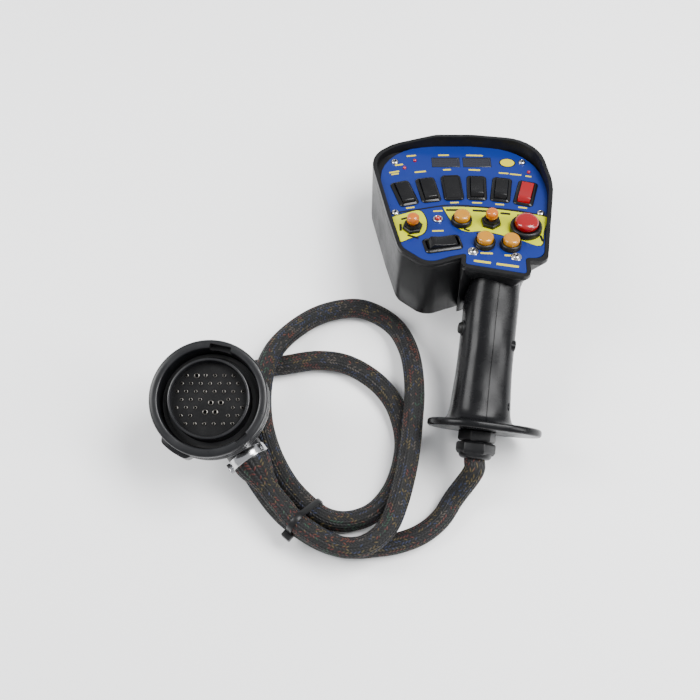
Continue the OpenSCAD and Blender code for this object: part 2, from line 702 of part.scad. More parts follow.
shell_wall = 2.2;
shell_depth = 24;
web_t = 4;
key_w = 4;
key_len = 8;
ring_bore = shell_d + 14;
web_gap = 0.2;
insert_top = -9;
insert_h = 11;
module backshell() color(black) difference() {
    union() {
        in_connector() post(backshell_d, -ring_h - backshell_h, -ring_h);
        in_connector() post(backshell_rim_d, -ring_h - backshell_rim_h, -ring_h);
        in_outlet() rotate(outlet_twist) post(outlet_d, backshell_d / 8, outlet_reach);
    }
    in_connector() post(backshell_d - 8, 4 - ring_h - backshell_h, 1 - ring_h);
    in_outlet() rotate(outlet_twist) post(outlet_d - 7, backshell_d / 6, outlet_reach + 1);
}
module connector_shell() color(black) in_connector() difference() {
    union() {
        post(shell_d, -shell_depth, -2, 64);
        post(ring_bore - 2 * play, -shell_depth, -shell_depth + web_t, 64);
        post(backshell_d, -ring_h, -shell_depth + eps, 64);
        rotate(125) translate([shell_d / 2 - 1, -key_w / 2, web_t - shell_depth - eps])
            cube([3, key_w, key_len]);
    }
    post(shell_d - 2 * shell_wall, -shell_depth + web_t, 1, 64);
    post(backshell_d - 8, -ring_h - 1, -shell_depth + web_t + 1, 64);
}
module connector_insert() color(dark) in_connector() difference() {
    post(shell_d - 2 * shell_wall - 2 * fit, insert_top - insert_h, insert_top, 64);
    for (s = contact_spots) translate(s) post(contact_d + 0.6, insert_top - 3, insert_top + 1, small_fn);
    for (s = power_spots) translate(s) post(power_d + 0.8, insert_top - 3, insert_top + 1, small_fn);
}
pin_pitch = 7;
pin_rows = 3;
power_d = 3.6;
power_spots = [[1, -2.5], [8.5, -2.5], [-3, -9.5], [4.5, -9.5], [-10, 18]];
function near(p, list, gap) = len([for (q = list) if (norm(p - q) < gap) 1]) > 0;
contact_spots = [
    for (row = [-pin_rows:pin_rows], col = [-4:4])
    let (p = [(col + (row % 2 == 0 ? 0 : 0.5)) * pin_pitch, row * pin_pitch * sin(60)])
    if (norm(p) < shell_d / 2 - shell_wall - 3 && !near(p, power_spots, 5)) p
];
module contacts() color(brass) in_connector() {
    for (s = contact_spots) translate(s) post(contact_d, insert_top - 3, insert_top - 0.6, small_fn);
    for (s = power_spots) translate(s) post(power_d, insert_top - 3, insert_top - 0.6, small_fn);
}
module shell_seal() color([0.3, 0.12, 0.1]) in_connector() difference() {
    post(ring_bore - 4, -shell_depth + web_t, -shell_depth + web_t + 2.5, 64);
    post(shell_d + 2 * fit + 6.4, -shell_depth + web_t - 1, -shell_depth + web_t + 4, 64);
}
lug_angle = 218;
module coupling_ring() color(black) in_connector() difference() {
    union() {
        post(ring_d, 3 - ring_h, -1, 96);
        translate([0, 0, -1]) cylinder(d1 = ring_d, d2 = ring_d - 2, h = 1, $fn = 96);
        translate([0, 0, web_gap - ring_h])
            cylinder(d1 = ring_d - 6, d2 = ring_d, h = 3 - web_gap, $fn = 96);
        rotate([0, 0, lug_angle]) rotate_extrude(angle = 36, $fn = 96)
            translate([ring_d / 2 - 2, 3 - ring_h]) square([5.4, 15]);
    }
    post(ring_bore, -shell_depth - web_gap, 1, 96);
    post(backshell_d + 2 * play, -ring_h - 1, 1, 96);
    rotate(78) translate([ring_bore / 2 - 1, -8, -9]) cube([3.5, 16, 12]);
    rotate(-50) translate([ring_bore / 2 - 1, -5, -9]) cube([3.5, 10, 12]);
}

// The tie runs round three strands, which lie at these places across it.
tie_spot = [-127.5, -176, 0];
tie_turn = 49;
tie_w = 4.8;
tie_t = 1.3;
strands = [[-8.5, 9.6], [-8.5, 26.2], [9, 9.6]];
tie_head = [6, 8, 7];
module tie_bundle() for (p = strands) translate(p) circle(d = cable_d + 2 * play, $fn = 32);
module cable_tie() color(black) translate(tie_spot) rotate([0, 0, tie_turn]) {
    rotate([90, 0, 0]) linear_extrude(tie_w, center = true) difference() {
        offset(r = tie_t) hull() tie_bundle();
        hull() tie_bundle();
    }
    translate([strands[0].x - cable_d / 2 - tie_t - tie_head.x + 1, -tie_head.y / 2, 13])
        cube(tie_head);
}

housing();
face_plate();
plate_gasket();
plate_screws();
circuit_board();
board_spacers();
display_windows();
display_modules();
indicator_leds();
pilot_bezel();
pilot_lens();
rocker_frames();
blank_plug();
rocker_1();
rocker_2();
rocker_3();
rocker_4();
rocker_5();
rocker_cross();
button_boots();
button_cap_1();
button_cap_2();
button_cap_3();
button_spring_1();
button_spring_2();
button_spring_3();
stop_ring();
stop_cap();
stop_spring();
toggle_bodies();
toggle_nuts();
toggle_lever_1();
toggle_lever_2();
grip_left();
grip_right();
grip_screws();
finger_switch();
finger_button();
wire_loom();
gland_body();
gland_nut();
gland_seal();
gland_cap();
cable();
cable_tie();
sleeve_end();
band_clamp();
backshell();
connector_shell();
connector_insert();
contacts();
shell_seal();
coupling_ring();
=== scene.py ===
"""Looks of a handheld control pendant with a braided cable and a round connector."""

import json
import math

import bmesh
import bpy
from mathutils import Matrix, Vector
from mathutils.kdtree import KDTree


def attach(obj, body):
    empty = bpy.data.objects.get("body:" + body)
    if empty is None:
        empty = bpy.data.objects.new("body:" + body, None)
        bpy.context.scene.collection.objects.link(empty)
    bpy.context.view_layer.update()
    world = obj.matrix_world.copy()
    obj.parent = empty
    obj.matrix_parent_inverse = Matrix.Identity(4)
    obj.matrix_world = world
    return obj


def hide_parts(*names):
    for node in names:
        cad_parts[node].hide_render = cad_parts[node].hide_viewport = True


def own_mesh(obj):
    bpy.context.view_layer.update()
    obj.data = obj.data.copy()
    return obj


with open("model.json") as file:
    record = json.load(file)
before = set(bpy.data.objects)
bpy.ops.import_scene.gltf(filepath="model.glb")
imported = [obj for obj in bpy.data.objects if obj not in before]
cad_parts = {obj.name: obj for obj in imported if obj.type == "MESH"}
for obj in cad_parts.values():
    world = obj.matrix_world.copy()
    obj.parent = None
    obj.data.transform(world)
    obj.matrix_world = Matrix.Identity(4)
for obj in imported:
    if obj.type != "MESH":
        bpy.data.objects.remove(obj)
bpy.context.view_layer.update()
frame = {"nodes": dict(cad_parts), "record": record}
nodes = frame["nodes"]


# ---- places --------------------------------------------------------------
def shift(x, y, z):
    return Matrix.Translation((x, y, z))


def turn(degrees, axis):
    return Matrix.Rotation(math.radians(degrees), 4, axis)


TABLE = Matrix.Scale(0.001, 4)
PANEL = TABLE @ shift(-2.1, 61.5, 79.203) @ turn(-18, "X")
GRIP = PANEL @ shift(20.5, -70, -41) @ turn(-2.5, "Z") @ turn(9, "Y") @ turn(33, "X")
DOWN_GRIP = GRIP @ turn(90, "X")
CONNECTOR = TABLE @ shift(-197.2, -102.7, 83) @ turn(10, "X")
OUTLET = CONNECTOR @ shift(0, 0, -43) @ turn(-56, "Z") @ turn(90, "Y")
TIE = TABLE @ shift(-127.5, -176, 0) @ turn(49, "Z")
TRIGGER = GRIP @ shift(0, -22, 2) @ turn(-90, "Y")

SCREWS = [(-53, 53.5), (53, 53), (-54.5, -9), (61, -9.5), (4, -52.5), (36.5, -58.5)]
WINDOWS = [(-10.5, 53.5), (15.5, 53.5)]
LAMPS = [(-36.3, 55.5), (-45.2, 46), (57.2, 40.5)]
PILOT = (-21, -16.5)
BUTTONS = [(-2.5, -19), (13.5, -44), (33.5, -46)]
STOP = (47, -28)
TOGGLES = [(-41.5, -26), (20.5, -20.5)]
GRIP_BOLTS = [(32, 12.5), (56, -12), (80, 12.5)]

FAN_RADIUS = 178
FAN_STEP = 6.4
FAN_TOP = (2.7, 21)
SOCKET_PITCH = 7
SOCKET_REACH = 25.3
SOCKET_CLEARANCE = 5
BUTTON_CHAMBER, STOP_CHAMBER = -14.5, -18
BUTTON_SPRING_KEEPS, STOP_SPRING_KEEPS = 0.6, 0.48

def fan_place(i):
    """The middle of the place i in the fanned row, its length towards the fan's centre."""
    lean = (2.5 - i) * FAN_STEP
    a = math.radians(lean)
    x = FAN_TOP[0] - FAN_RADIUS * math.sin(a)
    y = FAN_TOP[1] - FAN_RADIUS * (1 - math.cos(a))
    return PANEL @ shift(x, y, 0) @ turn(lean, "Z")


CROSS_PLACE = PANEL @ shift(-19, -44.5, 0) @ turn(-78.5, "Z")


# ---- camera, light and table ----------------------------------------------
def set_camera():
    bpy.ops.object.camera_add(
        location=(-0.0926, -0.346, 0.7788), rotation=(math.radians(22), 0, 0)
    )
    camera = bpy.context.object
    camera.data.lens = 51.43
    camera.data.sensor_width = 36
    bpy.context.scene.camera = camera


def soft_light(name, place, aim, size, power):
    bpy.ops.object.light_add(type="AREA", location=place)
    light = bpy.context.object
    light.name = name
    light.data.shape = "RECTANGLE"
    light.data.size = size[0]
    light.data.size_y = size[1]
    light.data.energy = power
    way = Vector(aim) - Vector(place)
    light.rotation_euler = way.to_track_quat("-Z", "Y").to_euler()


def set_lights():
    soft_light("light_over", (0.55, 0.15, 1.3), (-0.05, -0.03, 0), (0.8, 0.6), 36)
    soft_light("light_left", (-1.05, 0.1, 0.9), (-0.05, -0.03, 0.05), (0.4, 0.8), 18)
    soft_light("light_right", (0.9, -0.3, 0.7), (0.02, -0.02, 0.05), (0.3, 0.7), 9)
    world = bpy.data.worlds.new("soft_room")
    bpy.context.scene.world = world
    world.use_nodes = True
    sky = world.node_tree.nodes["Background"]
    sky.inputs["Color"].default_value = (0.95, 0.97, 1, 1)
    sky.inputs["Strength"].default_value = 0.75


# ---- modelling steps --------------------------------------------------------
def deselect():
    if bpy.context.mode != "OBJECT":
        bpy.ops.object.mode_set(mode="OBJECT")
    bpy.ops.object.select_all(action="DESELECT")


def pick(*pieces):
    deselect()
    for piece in pieces:
        piece.select_set(True)
    bpy.context.view_layer.objects.active = pieces[0]


def lifted(points, z):
    return [(p[0], p[1], z) for p in points]


def drawn_up(name, rings, closed=False):
    """One outline is extruded again and again, each time to the next ring's points.
    closed joins the last ring to the first, for a band with a hole through it."""
    deselect()
    fill = "NOTHING" if closed else "NGON"
    bpy.ops.mesh.primitive_circle_add(vertices=len(rings[0]), radius=1, fill_type=fill)
    piece = bpy.context.object
    piece.name = name
    for vertex, place in zip(piece.data.vertices, rings[0]):
        vertex.co = place
    bpy.ops.object.mode_set(mode="EDIT")
    bpy.ops.mesh.select_mode(type="EDGE" if closed else "FACE")
    bpy.ops.mesh.select_all(action="SELECT")
    steps = rings[1:] + ([rings[0]] if closed else [])
    before = rings[0]
    for ring in steps:
        bpy.ops.mesh.extrude_region_move()
        shape = bmesh.from_edit_mesh(piece.data)
        nearest = KDTree(len(before))
        for k, spot in enumerate(before):
            nearest.insert(spot, k)
        nearest.balance()
        for vertex in shape.verts:
            if vertex.select:
                vertex.co = ring[nearest.find(vertex.co)[1]]
        bmesh.update_edit_mesh(piece.data)
        before = ring
    bpy.ops.mesh.select_all(action="SELECT")
    if closed:
        bpy.ops.mesh.remove_doubles(threshold=0.0005)
    bpy.ops.mesh.normals_make_consistent(inside=False)
    bpy.ops.object.mode_set(mode="OBJECT")
    return piece


def round_line(radius, sides, at=(0, 0), start=0.0):
    return [
        (
            at[0] + radius * math.cos(2 * math.pi * k / sides + start),
            at[1] + radius * math.sin(2 * math.pi * k / sides + start),
        )
        for k in range(sides)
    ]


def turned(name, profile, sides=64, at=(0, 0), start=0.0):
    """A lathe shape: each step of the profile is a radius and a height."""
    return drawn_up(
        name, [lifted(round_line(r, sides, at, start), z) for r, z in profile]
    )


def turned_band(name, profile, sides=96):
    return drawn_up(
        name, [lifted(round_line(r, sides), z) for r, z in profile], closed=True
    )


def rounded_box_line(width, length, radius, steps=5):
    line = []
    for cx, cy, a in ((1, 1, 0), (-1, 1, 90), (-1, -1, 180), (1, -1, 270)):
        for k in range(steps + 1):
            b = math.radians(a + 90 * k / steps)
            line.append(
                (
                    cx * (width / 2 - radius) + radius * math.cos(b),
                    cy * (length / 2 - radius) + radius * math.sin(b),
                )
            )
    return line


def box_rings(steps):
    """Rings of a plate with rounded corners: width, length, corner and height of each."""
    return [lifted(rounded_box_line(w, l, r), z) for w, l, r, z in steps]


def soften(piece, width, segments=3, angle=32):
    pick(piece)
    bevel = piece.modifiers.new("soft_edge", "BEVEL")
    bevel.width = width
    bevel.segments = segments
    bevel.limit_method = "ANGLE"
    bevel.angle_limit = math.radians(angle)
    bevel.use_clamp_overlap = True
    bpy.ops.object.modifier_apply(modifier=bevel.name)


def place(piece, where):
    pick(piece)
    piece.matrix_world = where @ piece.matrix_world
    bpy.ops.object.transform_apply(location=True, rotation=True, scale=True)


def cut(piece, tool):
    pick(piece)
    saw = piece.modifiers.new("cut", "BOOLEAN")
    saw.operation = "DIFFERENCE"
    saw.object = tool
    bpy.ops.object.modifier_apply(modifier=saw.name)
    pick(tool)
    bpy.ops.object.delete()


def on_panel(spots):
    return [PANEL @ shift(x, y, 0) for x, y in spots]


def joined(name, pieces):
    pick(*pieces)
    if len(pieces) > 1:
        bpy.ops.object.join()
    piece = bpy.context.object
    piece.name = name
    return piece


def spread(piece, spots):
    """One modelled piece is copied to each spot, each copy with its own mesh."""
    copies = []
    for spot in spots:
        copy = piece.copy()
        copy.data = piece.data.copy()
        bpy.context.collection.objects.link(copy)
        pick(copy)
        copy.matrix_world = spot @ copy.matrix_world
        bpy.ops.object.transform_apply(location=True, rotation=True, scale=True)
        copies.append(copy)
    name = piece.name
    pick(piece)
    bpy.ops.object.delete()
    return joined(name, copies)


def finished(piece, material, body="pendant", stands_for=(), angle=35, at=None):
    """Puts the piece in its place, smooths its faces and gives it its material and body."""
    if at:
        place(piece, at)
    pick(piece)
    bpy.ops.object.shade_smooth_by_angle(angle=math.radians(angle))
    piece.data.materials.clear()
    piece.data.materials.append(material)
    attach(piece, body)
    if stands_for:
        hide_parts(*stands_for)
    return piece


# ---- the effects that materials share ---------------------------------------
class Bench:
    """Puts shader nodes down and wires them."""

    def __init__(self, tree):
        self.tree = tree

    def put(self, kind, wires=None, **values):
        node = self.tree.nodes.new(kind)
        for key, value in values.items():
            setattr(node, key, value)
        for key, value in (wires or {}).items():
            self.feed(node.inputs[key], value)
        return node

    def feed(self, socket, value):
        if isinstance(value, bpy.types.NodeSocket):
            self.tree.links.new(value, socket)
        else:
            socket.default_value = value

    def math(self, operation, a, b=0.0):
        node = self.put("ShaderNodeMath", operation=operation)
        self.feed(node.inputs[0], a)
        self.feed(node.inputs[1], b)
        return node.outputs[0]

    def times(self, a, b):
        return self.math("MULTIPLY", a, b)

    def span(self, value, low, high, to_low=0.0, to_high=1.0):
        node = self.put("ShaderNodeMapRange", {"Value": value})
        self.feed(node.inputs["From Min"], low)
        self.feed(node.inputs["From Max"], high)
        self.feed(node.inputs["To Min"], to_low)
        self.feed(node.inputs["To Max"], to_high)
        return node.outputs["Result"]

    def blend(self, mask, a, b):
        node = self.put("ShaderNodeMix", data_type="RGBA")
        self.feed(node.inputs["Factor"], mask)
        for socket, value in ((6, a), (7, b)):
            self.feed(node.inputs[socket], value)
        return node.outputs[2]

    def noise(self, vector, scale, detail=3.0, roughness=0.55):
        node = self.put(
            "ShaderNodeTexNoise",
            {
                "Vector": vector,
                "Scale": scale,
                "Detail": detail,
                "Roughness": roughness,
            },
        )
        return node.outputs["Fac"]


def new_effect(name, inputs, outputs):
    tree = bpy.data.node_groups.new(name, "ShaderNodeTree")
    for label, kind, value in inputs:
        socket = tree.interface.new_socket(label, in_out="INPUT", socket_type=kind)
        if value is not None:
            socket.default_value = value
    for label, kind in outputs:
        tree.interface.new_socket(label, in_out="OUTPUT", socket_type=kind)
    bench = Bench(tree)
    return bench, bench.put("NodeGroupInput"), bench.put("NodeGroupOutput")


FLOAT, COLOUR, VECTOR = "NodeSocketFloat", "NodeSocketColor", "NodeSocketVector"


def make_handled_surface():
    """Moulded or painted surface that has been handled: cloudy tone, rubbed
    patches, fine scratches and a fine moulded grain."""
    bench, given, out = new_effect(
        "handled_surface",
        [
            ("Vector", VECTOR, None),
            ("Colour", COLOUR, (0.05, 0.05, 0.05, 1)),
            ("Rubbed colour", COLOUR, (0.1, 0.1, 0.1, 1)),
            ("Rubbing", FLOAT, 0.3),
            ("Patch scale", FLOAT, 60.0),
            ("Grain scale", FLOAT, 1400.0),
            ("Smoothest", FLOAT, 0.3),
            ("Roughest", FLOAT, 0.5),
            ("Scratches", FLOAT, 0.3),
        ],
        [("Colour", COLOUR), ("Roughness", FLOAT), ("Height", FLOAT)],
    )
    cloud = bench.noise(given.outputs["Vector"], given.outputs["Patch scale"], 5, 0.6)
    patch = bench.span(cloud, 0.5, 0.72)
    grain = bench.noise(given.outputs["Vector"], given.outputs["Grain scale"], 2, 0.5)
    long_way = bench.put(
        "ShaderNodeMapping",
        {
            "Vector": given.outputs["Vector"],
            "Scale": (40, 900, 300),
            "Rotation": (0.3, 0.2, 0.7),
        },
    )
    lines = bench.noise(long_way.outputs["Vector"], 1.0, 4, 0.7)
    scratch = bench.times(bench.span(lines, 0.66, 0.72), given.outputs["Scratches"]
    )
    mask = bench.times(bench.math("ADD", bench.times(patch, 0.6), bench.span(grain, 0.4, 0.8)),
        given.outputs["Rubbing"],
    )
    mask = bench.math("MINIMUM", bench.math("ADD", mask, scratch), 1.0)
    colour = bench.blend(mask, given.outputs["Colour"], given.outputs["Rubbed colour"])
    spread_rough = bench.math("ADD", bench.times(cloud, 0.8), bench.times(grain, 0.2))
    rough = bench.span(
        spread_rough, 0.3, 0.7, given.outputs["Smoothest"], given.outputs["Roughest"]
    )
    height = bench.math("SUBTRACT", grain, bench.times(scratch, 0.6))
    bench.feed(out.inputs["Colour"], colour)
    bench.feed(out.inputs["Roughness"], rough)
    bench.feed(out.inputs["Height"], height)
    return bench.tree


def make_braid():
    """Braided sleeve read from a map that is wound round the cable: rows of
    slanted threads, with coloured tracer threads in some of them."""
    bench, given, out = new_effect(
        "braid",
        [
            ("Wound map", VECTOR, None),
            ("Rows", FLOAT, 16.0),
            ("Threads", FLOAT, 12.6),
            ("Thread colour", COLOUR, (0.02, 0.02, 0.02, 1)),
            ("Gap colour", COLOUR, (0.004, 0.004, 0.004, 1)),
            ("Tracers", FLOAT, 0.4),
        ],
        [("Colour", COLOUR), ("Roughness", FLOAT), ("Height", FLOAT)],
    )
    axes = bench.put("ShaderNodeSeparateXYZ", {"Vector": given.outputs["Wound map"]})
    across = bench.times(axes.outputs["X"], given.outputs["Rows"])
    row = bench.math("FLOOR", across)
    inside = bench.math("SUBTRACT", across, row)
    odd = bench.math("MODULO", row, 2.0)
    lean = bench.math("SUBTRACT", bench.times(odd, 2.0), 1.0)
    along = bench.math(
        "ADD",
        bench.times(axes.outputs["Y"], given.outputs["Threads"]),
        bench.times(inside, bench.times(lean, 0.9)),
    )
    stitch = bench.math("FLOOR", along)
    phase = bench.math("SUBTRACT", along, stitch)
    bulge = bench.math("SINE", bench.times(phase, math.pi))
    crown = bench.math("SINE", bench.times(inside, math.pi))
    fibres = bench.math(
        "ABSOLUTE", bench.math("SINE", bench.times(phase, 3 * math.pi))
    )
    body = bench.times(bulge, bench.math("POWER", crown, 0.5))
    height = bench.times(body, bench.math("ADD", bench.times(fibres, 0.25), 0.75)
    )
    cell = bench.put("ShaderNodeCombineXYZ", {"X": row, "Y": stitch, "Z": 3.0})
    chance = bench.put("ShaderNodeTexWhiteNoise", {"Vector": cell.outputs[0]})
    band = bench.put(
        "ShaderNodeMapping",
        {"Vector": given.outputs["Wound map"], "Scale": (3.0, 1.1, 1.0)},
    )
    district = bench.noise(band.outputs["Vector"], 1.0, 2, 0.5)
    ramp = bench.put("ShaderNodeValToRGB", {"Fac": bench.span(district, 0.3, 0.7)})
    ramp.color_ramp.interpolation = "CONSTANT"
    tones = [
        (0.0, (0.01, 0.032, 0.018, 1)),
        (0.22, (0.06, 0.01, 0.007, 1)),
        (0.38, (0.055, 0.04, 0.012, 1)),
        (0.52, (0.012, 0.018, 0.045, 1)),
        (0.66, (0.045, 0.037, 0.03, 1)),
        (0.82, (0.075, 0.017, 0.008, 1)),
    ]
    ramp.color_ramp.elements[0].position = 0.0
    ramp.color_ramp.elements[1].position = tones[1][0]
    for spot, tone in tones[2:]:
        ramp.color_ramp.elements.new(spot)
    for element, (spot, tone) in zip(ramp.color_ramp.elements, tones):
        element.color = tone
    lit = bench.times(bench.math("LESS_THAN", chance.outputs["Value"], given.outputs["Tracers"]),
        bench.span(height, 0.35, 0.75),
    )
    ground = bench.blend(
        bench.span(height, 0.05, 0.6),
        given.outputs["Gap colour"],
        given.outputs["Thread colour"],
    )
    bench.feed(out.inputs["Colour"], bench.blend(lit, ground, ramp.outputs["Color"]))
    bench.feed(out.inputs["Roughness"], bench.span(height, 0.0, 1.0, 0.75, 0.42))
    bench.feed(out.inputs["Height"], height)
    return bench.tree


CABLE_D = 16.0
BRAID_ROWS = 22
THREAD_PITCH = 2.6
CABLE_STEP, CABLE_RELIEF = 0.00135, 0.00035
SLEEVE_STEP, SLEEVE_RELIEF = 0.0009, 0.0005
SLEEVE_START, SLEEVE_END = 14.3, 8.35

HANDLED = make_handled_surface()
BRAID = make_braid()


def new_material(name):
    material = bpy.data.materials.new(name)
    material.use_nodes = True
    bench = Bench(material.node_tree)
    return material, bench, material.node_tree.nodes["Principled BSDF"]


def handled(
    name,
    colour,
    rubbed,
    smoothest,
    roughest,
    rubbing=0.25,
    patch=60.0,
    grain=1400.0,
    scratches=0.25,
    bump=0.05,
    metallic=0.0,
    coat=0.0,
    shine=0.5,
):
    material, bench, shader = new_material(name)
    where = bench.put("ShaderNodeTexCoord")
    effect = bench.put("ShaderNodeGroup", node_tree=HANDLED)
    settings = {
        "Vector": where.outputs["Object"],
        "Colour": (*colour, 1),
        "Rubbed colour": (*rubbed, 1),
        "Rubbing": rubbing,
        "Patch scale": patch,
        "Grain scale": grain,
        "Smoothest": smoothest,
        "Roughest": roughest,
        "Scratches": scratches,
    }
    for key, value in settings.items():
        bench.feed(effect.inputs[key], value)
    bump_node = bench.put(
        "ShaderNodeBump",
        {"Height": effect.outputs["Height"], "Strength": bump, "Distance": 0.0004},
    )
    bench.feed(shader.inputs["Base Color"], effect.outputs["Colour"])
    bench.feed(shader.inputs["Roughness"], effect.outputs["Roughness"])
    bench.feed(shader.inputs["Normal"], bump_node.outputs["Normal"])
    shader.inputs["Metallic"].default_value = metallic
    shader.inputs["Coat Weight"].default_value = coat
    shader.inputs["Coat Roughness"].default_value = 0.12
    shader.inputs["Specular IOR Level"].default_value = shine
    return material


def braided(name, rows, threads):
    material, bench, shader = new_material(name)
    where = bench.put("ShaderNodeUVMap", uv_map="wound")
    effect = bench.put("ShaderNodeGroup", node_tree=BRAID)
    bench.feed(effect.inputs["Wound map"], where.outputs["UV"])
    effect.inputs["Rows"].default_value = rows
    effect.inputs["Threads"].default_value = threads
    effect.inputs["Thread colour"].default_value = (0.003, 0.003, 0.0033, 1)
    bump_node = bench.put(
        "ShaderNodeBump",
        {"Height": effect.outputs["Height"], "Strength": 0.7, "Distance": 0.0006},
    )
    bench.feed(shader.inputs["Base Color"], effect.outputs["Colour"])
    bench.feed(shader.inputs["Roughness"], effect.outputs["Roughness"])
    bench.feed(shader.inputs["Normal"], bump_node.outputs["Normal"])
    shader.inputs["Specular IOR Level"].default_value = 0.3
    return material


black_case = handled(
    "black_case", (0.004, 0.004, 0.0045), (0.016, 0.016, 0.017), 0.28, 0.46, rubbing=0.22,
    grain=1600, bump=0.12, shine=0.25,
)
grip_black = handled(
    "grip_black", (0.004, 0.004, 0.0045), (0.014, 0.014, 0.015), 0.2, 0.34, rubbing=0.2,
    grain=1100, bump=0.08, shine=0.14,
)
panel_blue = handled(
    "panel_blue", (0.004, 0.015, 0.13), (0.01, 0.03, 0.18), 0.26, 0.4, rubbing=0.12, grain=2400,
    bump=0.02, shine=0.3,
)
ink_lime = handled(
    "ink_lime", (0.42, 0.44, 0.0), (0.3, 0.32, 0.005), 0.3, 0.48, rubbing=0.2, grain=2400,
    bump=0.03, shine=0.3,
)
ink_yellow = handled(
    "ink_yellow", (0.5, 0.42, 0.01), (0.34, 0.3, 0.02), 0.32, 0.5, rubbing=0.15, grain=2400,
    bump=0.03, shine=0.3,
)
# Black for the printed marks, and also for the painted shade discs in the screw heads' sockets.
ink_and_shade_black = handled(
    "ink_and_shade_black", (0.003, 0.003, 0.0035), (0.014, 0.014, 0.016), 0.3, 0.5, rubbing=0.2, grain=2400,
    bump=0.03, shine=0.25,
)
switch_black = handled(
    "switch_black", (0.004, 0.004, 0.0045), (0.02, 0.02, 0.02), 0.16, 0.3, rubbing=0.15,
    grain=1800, bump=0.05, shine=0.25,
)
switch_red = handled(
    "switch_red", (0.2, 0.0, 0.002), (0.23, 0.01, 0.01), 0.14, 0.28, rubbing=0.12, grain=1800,
    bump=0.04, coat=0.3,
)
cap_amber = handled(
    "cap_amber", (0.36, 0.145, 0.0), (0.33, 0.15, 0.005), 0.14, 0.26, rubbing=0.15, grain=1800,
    bump=0.04, coat=0.4,
)
knob_orange = handled(
    "knob_orange", (0.38, 0.09, 0.0), (0.35, 0.1, 0.004), 0.16, 0.3, rubbing=0.15, grain=1800,
    bump=0.04, coat=0.3,
)
soft_rubber = handled(
    "soft_rubber", (0.005, 0.005, 0.005), (0.02, 0.019, 0.018), 0.3, 0.5, rubbing=0.3, grain=900,
    bump=0.15, shine=0.25,
)
nylon_black = handled(
    "nylon_black", (0.005, 0.005, 0.0055), (0.022, 0.022, 0.022), 0.26, 0.44, rubbing=0.22,
    grain=1200, bump=0.08, shine=0.25,
)
anodised = handled(
    "anodised", (0.004, 0.0042, 0.005), (0.022, 0.022, 0.024), 0.24, 0.4, rubbing=0.2, grain=2000,
    bump=0.06, shine=0.35,
)
insert_grey = handled(
    "insert_grey", (0.003, 0.003, 0.0033), (0.01, 0.01, 0.01), 0.3, 0.5, rubbing=0.3, grain=900,
    bump=0.1, shine=0.15,
)
bright_steel = handled(
    "bright_steel", (0.5, 0.5, 0.51), (0.42, 0.42, 0.43), 0.14, 0.22, rubbing=0.15, grain=1500,
    bump=0.0, metallic=1.0, scratches=0.1,
)
silver_contact = handled(
    "silver_contact", (0.2, 0.19, 0.175), (0.12, 0.11, 0.1), 0.28, 0.42, rubbing=0.25, grain=2600,
    bump=0.03, metallic=1.0,
)
plain_brass = handled(
    "plain_brass", (0.6, 0.42, 0.16), (0.35, 0.25, 0.1), 0.25, 0.45, metallic=1.0,
)
board_green = handled("board_green", (0.01, 0.09, 0.03), (0.03, 0.16, 0.07), 0.3, 0.5, grain=700)
dark_window = handled(
    "dark_window", (0.012, 0.013, 0.02), (0.02, 0.02, 0.026), 0.05, 0.14, rubbing=0.12, bump=0.01,
    coat=0.3, shine=0.25,
)
lamp_red = handled(
    "lamp_red", (0.25, 0.002, 0.004), (0.32, 0.02, 0.02), 0.08, 0.2, rubbing=0.1, bump=0.02,
    coat=0.6,
)
wire_sheath = handled("wire_sheath", (0.02, 0.02, 0.06), (0.05, 0.05, 0.1), 0.35, 0.5)
cable_braid = braided("cable_braid", BRAID_ROWS, math.pi * CABLE_D / THREAD_PITCH)

SLOT_MATERIALS = {
    "housing": black_case, "panel": panel_blue, "rubber": soft_rubber, "steel": bright_steel,
    "board": board_green, "brass": plain_brass, "window": dark_window, "lamp_red": lamp_red,
    "chrome": bright_steel, "switch_black": switch_black, "switch_red": switch_red,
    "cap_amber": cap_amber, "knob_orange": knob_orange, "grip": grip_black,
    "nylon": nylon_black, "braid": cable_braid, "wire": wire_sheath,
    "shell_metal": anodised, "insert": insert_grey,
}


def dress_cad_nodes():
    for part in frame["record"]["subparts"]:
        node = nodes.get(part["node"])
        if node is None:
            continue
        material = SLOT_MATERIALS[part["material_slot"]]
        if not node.material_slots:
            node.data.materials.append(material)
        for slot in node.material_slots:
            slot.material = material


# ---- the cable ---------------------------------------------------------------
CABLE_LAY = [
    (-11, -160, 11), (-22, -176, 8), (-37, -188, 8), (-55, -195, 8),
    (-73, -198, 8), (-91, -199, 8), (-111, -195, 8.8), (-133, -182.5, 9.6),
    (-151, -166, 9), (-171, -138, 8), (-186, -112, 8), (-194, -91, 8),
    (-192, -71, 8), (-181, -57, 8), (-165, -51, 8), (-146, -48, 8),
    (-120, -44, 8), (-97, -47, 8), (-77, -58, 8), (-62, -73, 8),
    (-53, -91, 8), (-49, -113, 8), (-52, -135, 8), (-60, -155, 8),
    (-74, -171, 8), (-92, -178, 8), (-108, -177, 8.6), (-121.5, -169.5, 9.6),
    (-139, -152, 9.6), (-152, -131, 12), (-160, -110, 17), (-163, -92, 22),
    (-163, -73, 24.5), (-160, -54, 24.5), (-152, -36, 21), (-139, -19, 14),
    (-122, -5, 9), (-103, 2, 8), (-84, 3, 8), (-67, -4, 8),
    (-54, -16, 10), (-46, -33, 15), (-42, -54, 22), (-41, -78, 24.5),
    (-43, -102, 24.5), (-46, -127, 24.5), (-50, -147, 24.5), (-56, -168, 24.5),
    (-64, -186, 24.5), (-77, -198, 24.5), (-93, -202, 24.5), (-111, -197, 25),
    (-133, -183, 26.2), (-143, -172, 27.3),
]


def point_at(matrix, x, y, z):
    """A point of a piece's own frame, in metres in the row's frame."""
    return matrix @ Vector((x, y, z))


